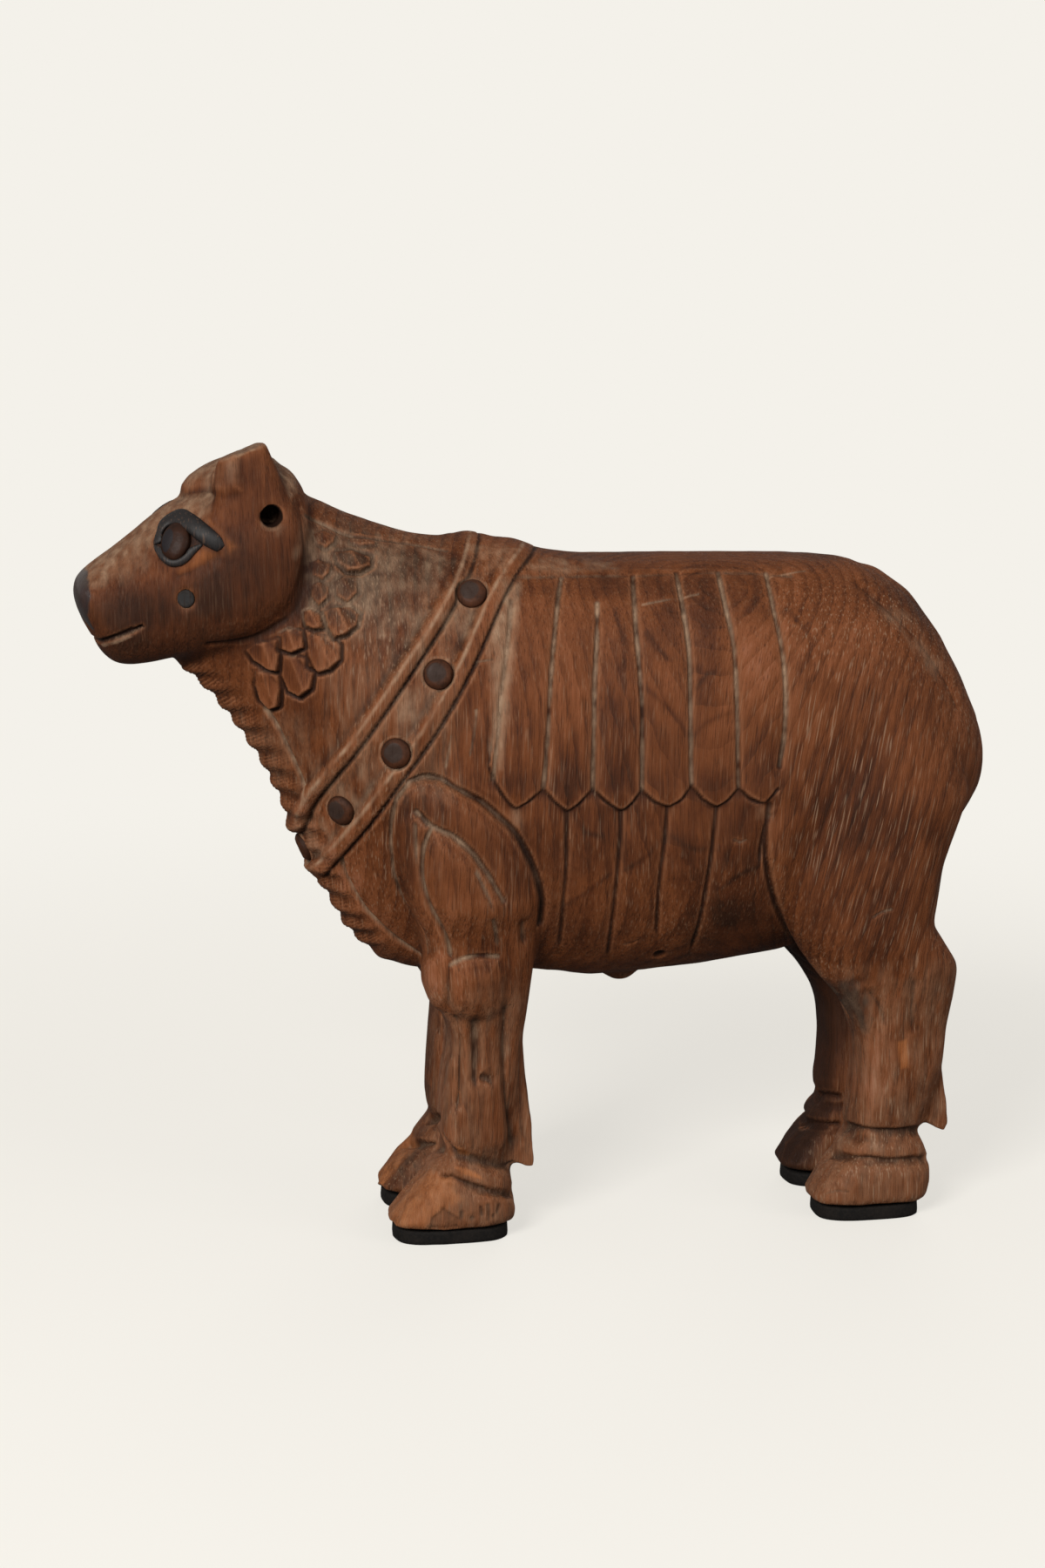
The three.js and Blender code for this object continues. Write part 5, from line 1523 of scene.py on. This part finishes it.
# %% Pegs: stained wood
def peg_material(name, body, painted_sheen, rough):
    """Dark stained wood with a dull rub and a painted bluish sheen on the crown, and painted shade at the
    rim, from the peg's own attributes.
    """
    material, add, mix, span, by = new_material(name)
    grain = add("Group", node_tree=GRAIN)
    rub_and_sheen, edge = (add("Attribute", attribute_name=n).outputs["Fac"] for n in ("rub_and_sheen", "edge"))
    place = add("TexCoord").outputs["Object"]
    spotted = {"Vector": place, "Scale": 240.0, "Detail": 4.0, "Roughness": 0.65}
    patches = add("TexNoise", spotted).outputs["Fac"]
    colour = mix(span(patches, 0.3, 0.7), linear([c * 0.8 for c in body]), linear([c * 1.35 for c in body]))
    # The rub on the crown carries a painted bluish sheen.
    rubbed_sheen = span(by(rub_and_sheen, span(patches, 0.25, 0.75, -0.45, 0.45), "ADD"), 0.25, 0.7)
    colour = mix(by(rubbed_sheen, 0.85), colour, linear(painted_sheen))
    # Painted shade at the rim.
    colour = mix(by(edge, 0.7), colour, linear(SHADE_AND_PORE_DARK))
    colour = mix(by(span(grain.outputs["Pores"], 0.38, 0.28), 0.6), colour, linear(SHADE_AND_PORE_DARK))
    dull = span(patches, 0.3, 0.7, rough + 0.1, rough - 0.08)
    close_finish(add, colour, dull, patches, 0.45, BUMP_DEPTH, WOOD_SHINE)
    return material


dark_peg = peg_material("dark_peg", (58, 33, 20), (48, 37, 32), 0.6)
dark_eye = peg_material("dark_eye", (38, 21, 13), (32, 31, 34), 0.5)
grey_plug = peg_material("grey_plug", (38, 36, 35), (42, 41, 41), 0.85)
print("stained woods", dark_peg.name, dark_eye.name, grey_plug.name)

# %% [markdown]
# Studs have flat worn tops, eyes are domes, and plugs lie almost flush with the cheek.

# %% Pegs: placing
STUD_STEPS = [
    (0.5, -5.5), (0.96, -5.5), (1.0, -5.0), (1.0, -3.2), (0.99, -2.75), (0.95, -2.35), (0.86, -1.85),
    (0.77, -1.4), (0.7, -1.15), (0.6, -1.04), (0.45, -1.0), (0.3, -0.98), (0.15, -0.97), (0.04, -0.97),
]
EYE_DOME = [(math.cos(t), 3.0 * math.sin(t) - 4.4) for t in np.linspace(0, 1.5, 16)]
EYE_STEPS = [(0.5, -7.5), (0.97, -7.5), (1.0, -7.0)] + EYE_DOME
PLUG_STEPS = [
    (0.5, -4.0), (1.06, -4.0), (1.1, -3.5), (1.12, -0.7), (1.08, -0.5), (0.8, -0.4), (0.4, -0.38),
    (0.05, -0.38),
]
KINDS = {
    "stud": (STUD_STEPS, 0.22, dark_peg, "dark_peg"),
    "eye": (EYE_STEPS, 0.12, dark_eye, "dark_peg"),
    "plug": (PLUG_STEPS, 0.06, grey_plug, "grey_plug"),
}
RUB_AND_SHEEN_SPOTS = {"stud": ((1, 1), (-0.15, 0.1), 0.45, 0.8), "eye": ((1.4, 1), (-0.55, -0.05), 0.45, 0.75)}
RIM_SHADE, RIM_LIGHT, PLUG_RIM_SHADE = (0.86, 0.98), (-0.2, 1.0), 0.2

for seed, node in enumerate(sorted(INSETS)):
    centre, across, top, axis, low, high = PEGS[node]
    kind = [k for k in KINDS if k in node][0]
    steps, wobble, finish, slot = KINDS[kind]
    peg = turned(node + "_peg", PEGS[node], [(r, high[2] + h) for r, h in steps], wobble, seed)
    share = (get_points(peg.data) - centre) @ np.stack([across, top], axis=1) / ((high[:2] - low[:2]) / 2)
    # Where on the crown the rub and its painted sheen lie.
    stretch, *rubbed_sheen = RUB_AND_SHEEN_SPOTS.get(kind, RUB_AND_SHEEN_SPOTS["stud"])
    keep_values(peg.data, "rub_and_sheen", near(share * stretch, *rubbed_sheen))
    # Painted shade at the rim, lighter on one side.
    edge = ramp(np.linalg.norm(share, axis=1), *RIM_SHADE)
    edge *= 1 - 0.6 * ramp(share[:, 0] - share[:, 1], *RIM_LIGHT)
    edge *= PLUG_RIM_SHADE if kind == "plug" else 1.0
    keep_values(peg.data, "edge", edge)
    peg.data.materials.append(finish)
    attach(peg, "root")
    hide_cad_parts(node)
    print(node, "half sizes", ((high - low) / 2).round(2), "axis", axis.round(2))

# %% [markdown]
# ## Eyelids
# The lids are thick black rims that overlap the eye: a wide upper one that runs out to a point behind the
# eye, and a thin lower one. Each is a tapered band between an outer and an inner line of the photograph. The
# lines are laid on a smooth bowed surface fitted to the head all round the eye, as if the eye weren't there.

# %% Eyelids: bands
UPPER_OUTER = [
    (176, 625), (180, 612), (186, 598), (198, 589), (211, 585), (222, 590), (233, 598), (245, 608),
    (254, 617), (259, 628),
]
UPPER_INNER = [
    (177, 626), (186, 622), (188, 612), (194, 605), (202, 603), (209, 607), (217, 612), (225, 619),
    (236, 627), (250, 634),
]
LOWER_OUTER = [(176, 626), (179, 634), (185, 643), (195, 650), (207, 650), (217, 644), (224, 636), (233, 626)]
LOWER_INNER = [(178, 625), (186, 629), (190, 637), (197, 642), (205, 642), (213, 637), (219, 629), (232, 624)]
LID_STEPS, LID_ROUNDS, LID_TIP, LID_POWER = 72, 20, 0.02, 0.4
LID_DENT, LID_DENT_SIZE = 0.18, 3.0


def lid_surface(node):
    """A function that lays photo pixels on the head round one eye, with the height over the eye's own plane
    given by the squares and product of the offsets along and up (fitted to points of the hide round it)."""
    centre, across, top, axis = PEGS[node][:4]
    spots = (eye_ring - centre) @ np.stack([across, top, axis], axis=1)

    def terms(a, b):
        """The six terms of a bowed surface at offsets along and up."""
        return np.stack([np.ones_like(a), a, b, a * a, a * b, b * b], axis=1)
    fit = np.linalg.lstsq(terms(spots[:, 0], spots[:, 1]), spots[:, 2], rcond=None)[0]

    def lay(pixels):
        """Photo pixels laid on that surface along the camera's rays, closing in on its height."""
        ways = photo_rays(pixels)
        height = np.full(len(ways), fit[0])
        for _ in range(4):
            far = ((centre - EYE_POINT) @ axis + height) / (ways @ axis)
            spot = EYE_POINT + ways * far[:, None]
            rel = spot - centre
            height = terms(rel @ across, rel @ top) @ fit
        return spot
    return lay


def evenly(pixels, count):
    """A curve through pixels with a count of points evenly spaced along it."""
    line = through(pixels, 1.0)
    run = np.concatenate([[0], np.cumsum(np.linalg.norm(np.diff(line, axis=0), axis=1))])
    at = np.linspace(0, run[-1], count)
    return np.stack([np.interp(at, run, line[:, i]) for i in range(2)], axis=1)


def lid_band(name, outer, inner, thick, lift, side):
    """A closed band: at each step along, an oval from the inner to the outer line, as thick as given and
    thinner at both ends, where it shrinks to a point. The other eye's band is its mirror image."""
    lay = lid_surface("eye_left")
    a, b = lay(evenly(outer, LID_STEPS)), lay(evenly(inner, LID_STEPS))
    axis = PEGS["eye_left"][3]
    along = np.linspace(0, 1, LID_STEPS)
    full = np.clip(np.sin(np.pi * along), 0, 1) ** LID_POWER
    turn = np.linspace(0, 2 * np.pi, LID_ROUNDS, endpoint=False)[:, None]
    wide = (a - b) / 2 * np.where((along == 0) | (along == 1), LID_TIP, 1)[:, None]
    middle = (a + b) / 2 + axis * (lift * full)[:, None]
    rings = middle[:, None] + wide[:, None] * np.cos(turn)
    rings = rings + (thick * full)[:, None, None] * np.sin(turn) * axis
    flat = rings.reshape(-1, 3)
    flat = flat + axis * (LID_DENT * lumps(flat, LID_DENT_SIZE, 51))[:, None]
    flat[:, 1] *= side
    i = np.arange((LID_STEPS - 1) * LID_ROUNDS).reshape(LID_STEPS - 1, LID_ROUNDS)
    j = np.roll(i, -1, axis=1)
    quads = np.stack([i, i + LID_ROUNDS, j + LID_ROUNDS, j], axis=-1).reshape(-1, 4)
    last_ring = (LID_STEPS - 1) * LID_ROUNDS
    faces = quads.tolist() + [tuple(range(LID_ROUNDS)), tuple(range(last_ring, last_ring + LID_ROUNDS))[::-1]]
    return mesh_object(name, flat * MM, faces if side > 0 else [tuple(f)[::-1] for f in faces])


print("a lid has", LID_STEPS, "ovals of", LID_ROUNDS, "points")

# %% [markdown]
# The rims were painted black. The paint is thin by now, so a little brown wood shows through it along the
# grain.

# %% Eyelids: paint and placing
PAINT_DARK, PAINT_GREY, BARE_GRAIN, BARE_SPOT = (20, 17, 17), (36, 32, 31), (104, 76, 58), (70, 42, 27)


def paint_material():
    """Old black paint: dark grey, worn to brown wood in thin streaks along the grain."""
    material, add, mix, span, by = new_material("black_paint")
    grain = add("Group", node_tree=GRAIN).outputs
    colour = mix(span(grain["Clouds"], 0.35, 0.7), linear(PAINT_DARK), linear(PAINT_GREY))
    colour = mix(by(span(grain["Pores"], 0.60, 0.70), 0.35), colour, linear(BARE_GRAIN))
    colour = mix(by(span(grain["Speckle"], 0.62, 0.75), 0.5), colour, linear(BARE_SPOT))
    close_finish(add, colour, 0.55, grain["Fibre"], 0.4, 0.0005, 0.3)
    return material


paint = paint_material()
for side, name in ((1, "left"), (-1, "right")):
    for lid in (lid_band("upper_lid_" + name, UPPER_OUTER, UPPER_INNER, 1.7, 0.9, side),
                lid_band("lower_lid_" + name, LOWER_OUTER, LOWER_INNER, 1.0, 0.5, side)):
        lid.data.materials.append(paint)
        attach(lid, "root")
        print(lid.name, len(lid.data.polygons), "faces")

# %% [markdown]
# ## Foot pads
# Each foot stands on a pad cut from a black sheet. It is a squared oval carried up through a few levels,
# a little smaller at the top and bottom edges, so that the cut edge is not knife sharp.

# %% Foot pads
PAD_POWER, PAD_ROUNDS, RAGGED = 3.2, 96, 0.25
RUBBER_DARK, RUBBER_GREY, RUBBER_DUST = (11, 9, 8), (24, 20, 17), (36, 30, 26)


def pad_surface(name, node):
    """A squared oval (|x/a|^p + |y/b|^p = 1) at a few levels, each drawn in a little near the faces."""
    lo, hi = (np.array(v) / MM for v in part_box(node))
    middle, half = (lo + hi) / 2, (hi - lo) / 2
    angle = np.linspace(0, 2 * np.pi, PAD_ROUNDS, endpoint=False)
    circle = (np.cos(angle), np.sin(angle))
    outline = np.stack([np.sign(way) * np.abs(way) ** (2 / PAD_POWER) for way in circle], axis=1)
    levels = [(lo[2], 3.0), (lo[2], 0.5), (lo[2] + 0.35, 0.1), (lo[2] + 1.6, 0.0),
              (hi[2] - 1.4, 0.15), (hi[2] - 0.3, 0.2), (hi[2], 0.5), (hi[2], 3.0)]
    flat = np.vstack([np.column_stack([middle[:2] + outline * (half[:2] - inset), np.full(PAD_ROUNDS, z)])
                      for z, inset in levels])
    ragged = RAGGED * lumps(flat * [1, 1, 0.4], 5.0, 41)
    flat[:, :2] += outline[np.arange(len(flat)) % PAD_ROUNDS] * (ragged - RAGGED)[:, None]
    ends = [tuple(range(PAD_ROUNDS))[::-1], tuple(range(len(flat) - PAD_ROUNDS, len(flat)))]
    return mesh_object(name, flat * MM, ring_faces(len(levels), PAD_ROUNDS) + ends)


def rubber_material():
    """Black sheet rubber: fine grit in colour and bump, and pale dust in patches."""
    material, add, mix, span, by = new_material("black_rubber")
    place = add("TexCoord").outputs["Object"]
    grit = add("TexNoise", {"Vector": place, "Scale": 900.0, "Detail": 3.0}).outputs["Fac"]
    cloud = add("TexNoise", {"Vector": place, "Scale": 70.0, "Detail": 3.0}).outputs["Fac"]
    colour = mix(span(grit, 0.35, 0.7), linear(RUBBER_DARK), linear(RUBBER_GREY))
    colour = mix(by(span(cloud, 0.5, 0.75), 0.5), colour, linear(RUBBER_DUST))
    close_finish(add, colour, span(cloud, 0.3, 0.7, 0.75, 0.9), grit, 0.4, 0.0004, 0.2)
    return material


rubber = rubber_material()
for node in sorted(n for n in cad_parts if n.startswith("foot_pad")):
    pad = pad_surface(node + "_sheet", node)
    pad.data.materials.append(rubber)
    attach(pad, "root")
    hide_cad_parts(node)
    print(pad.name, len(pad.data.polygons), "faces")
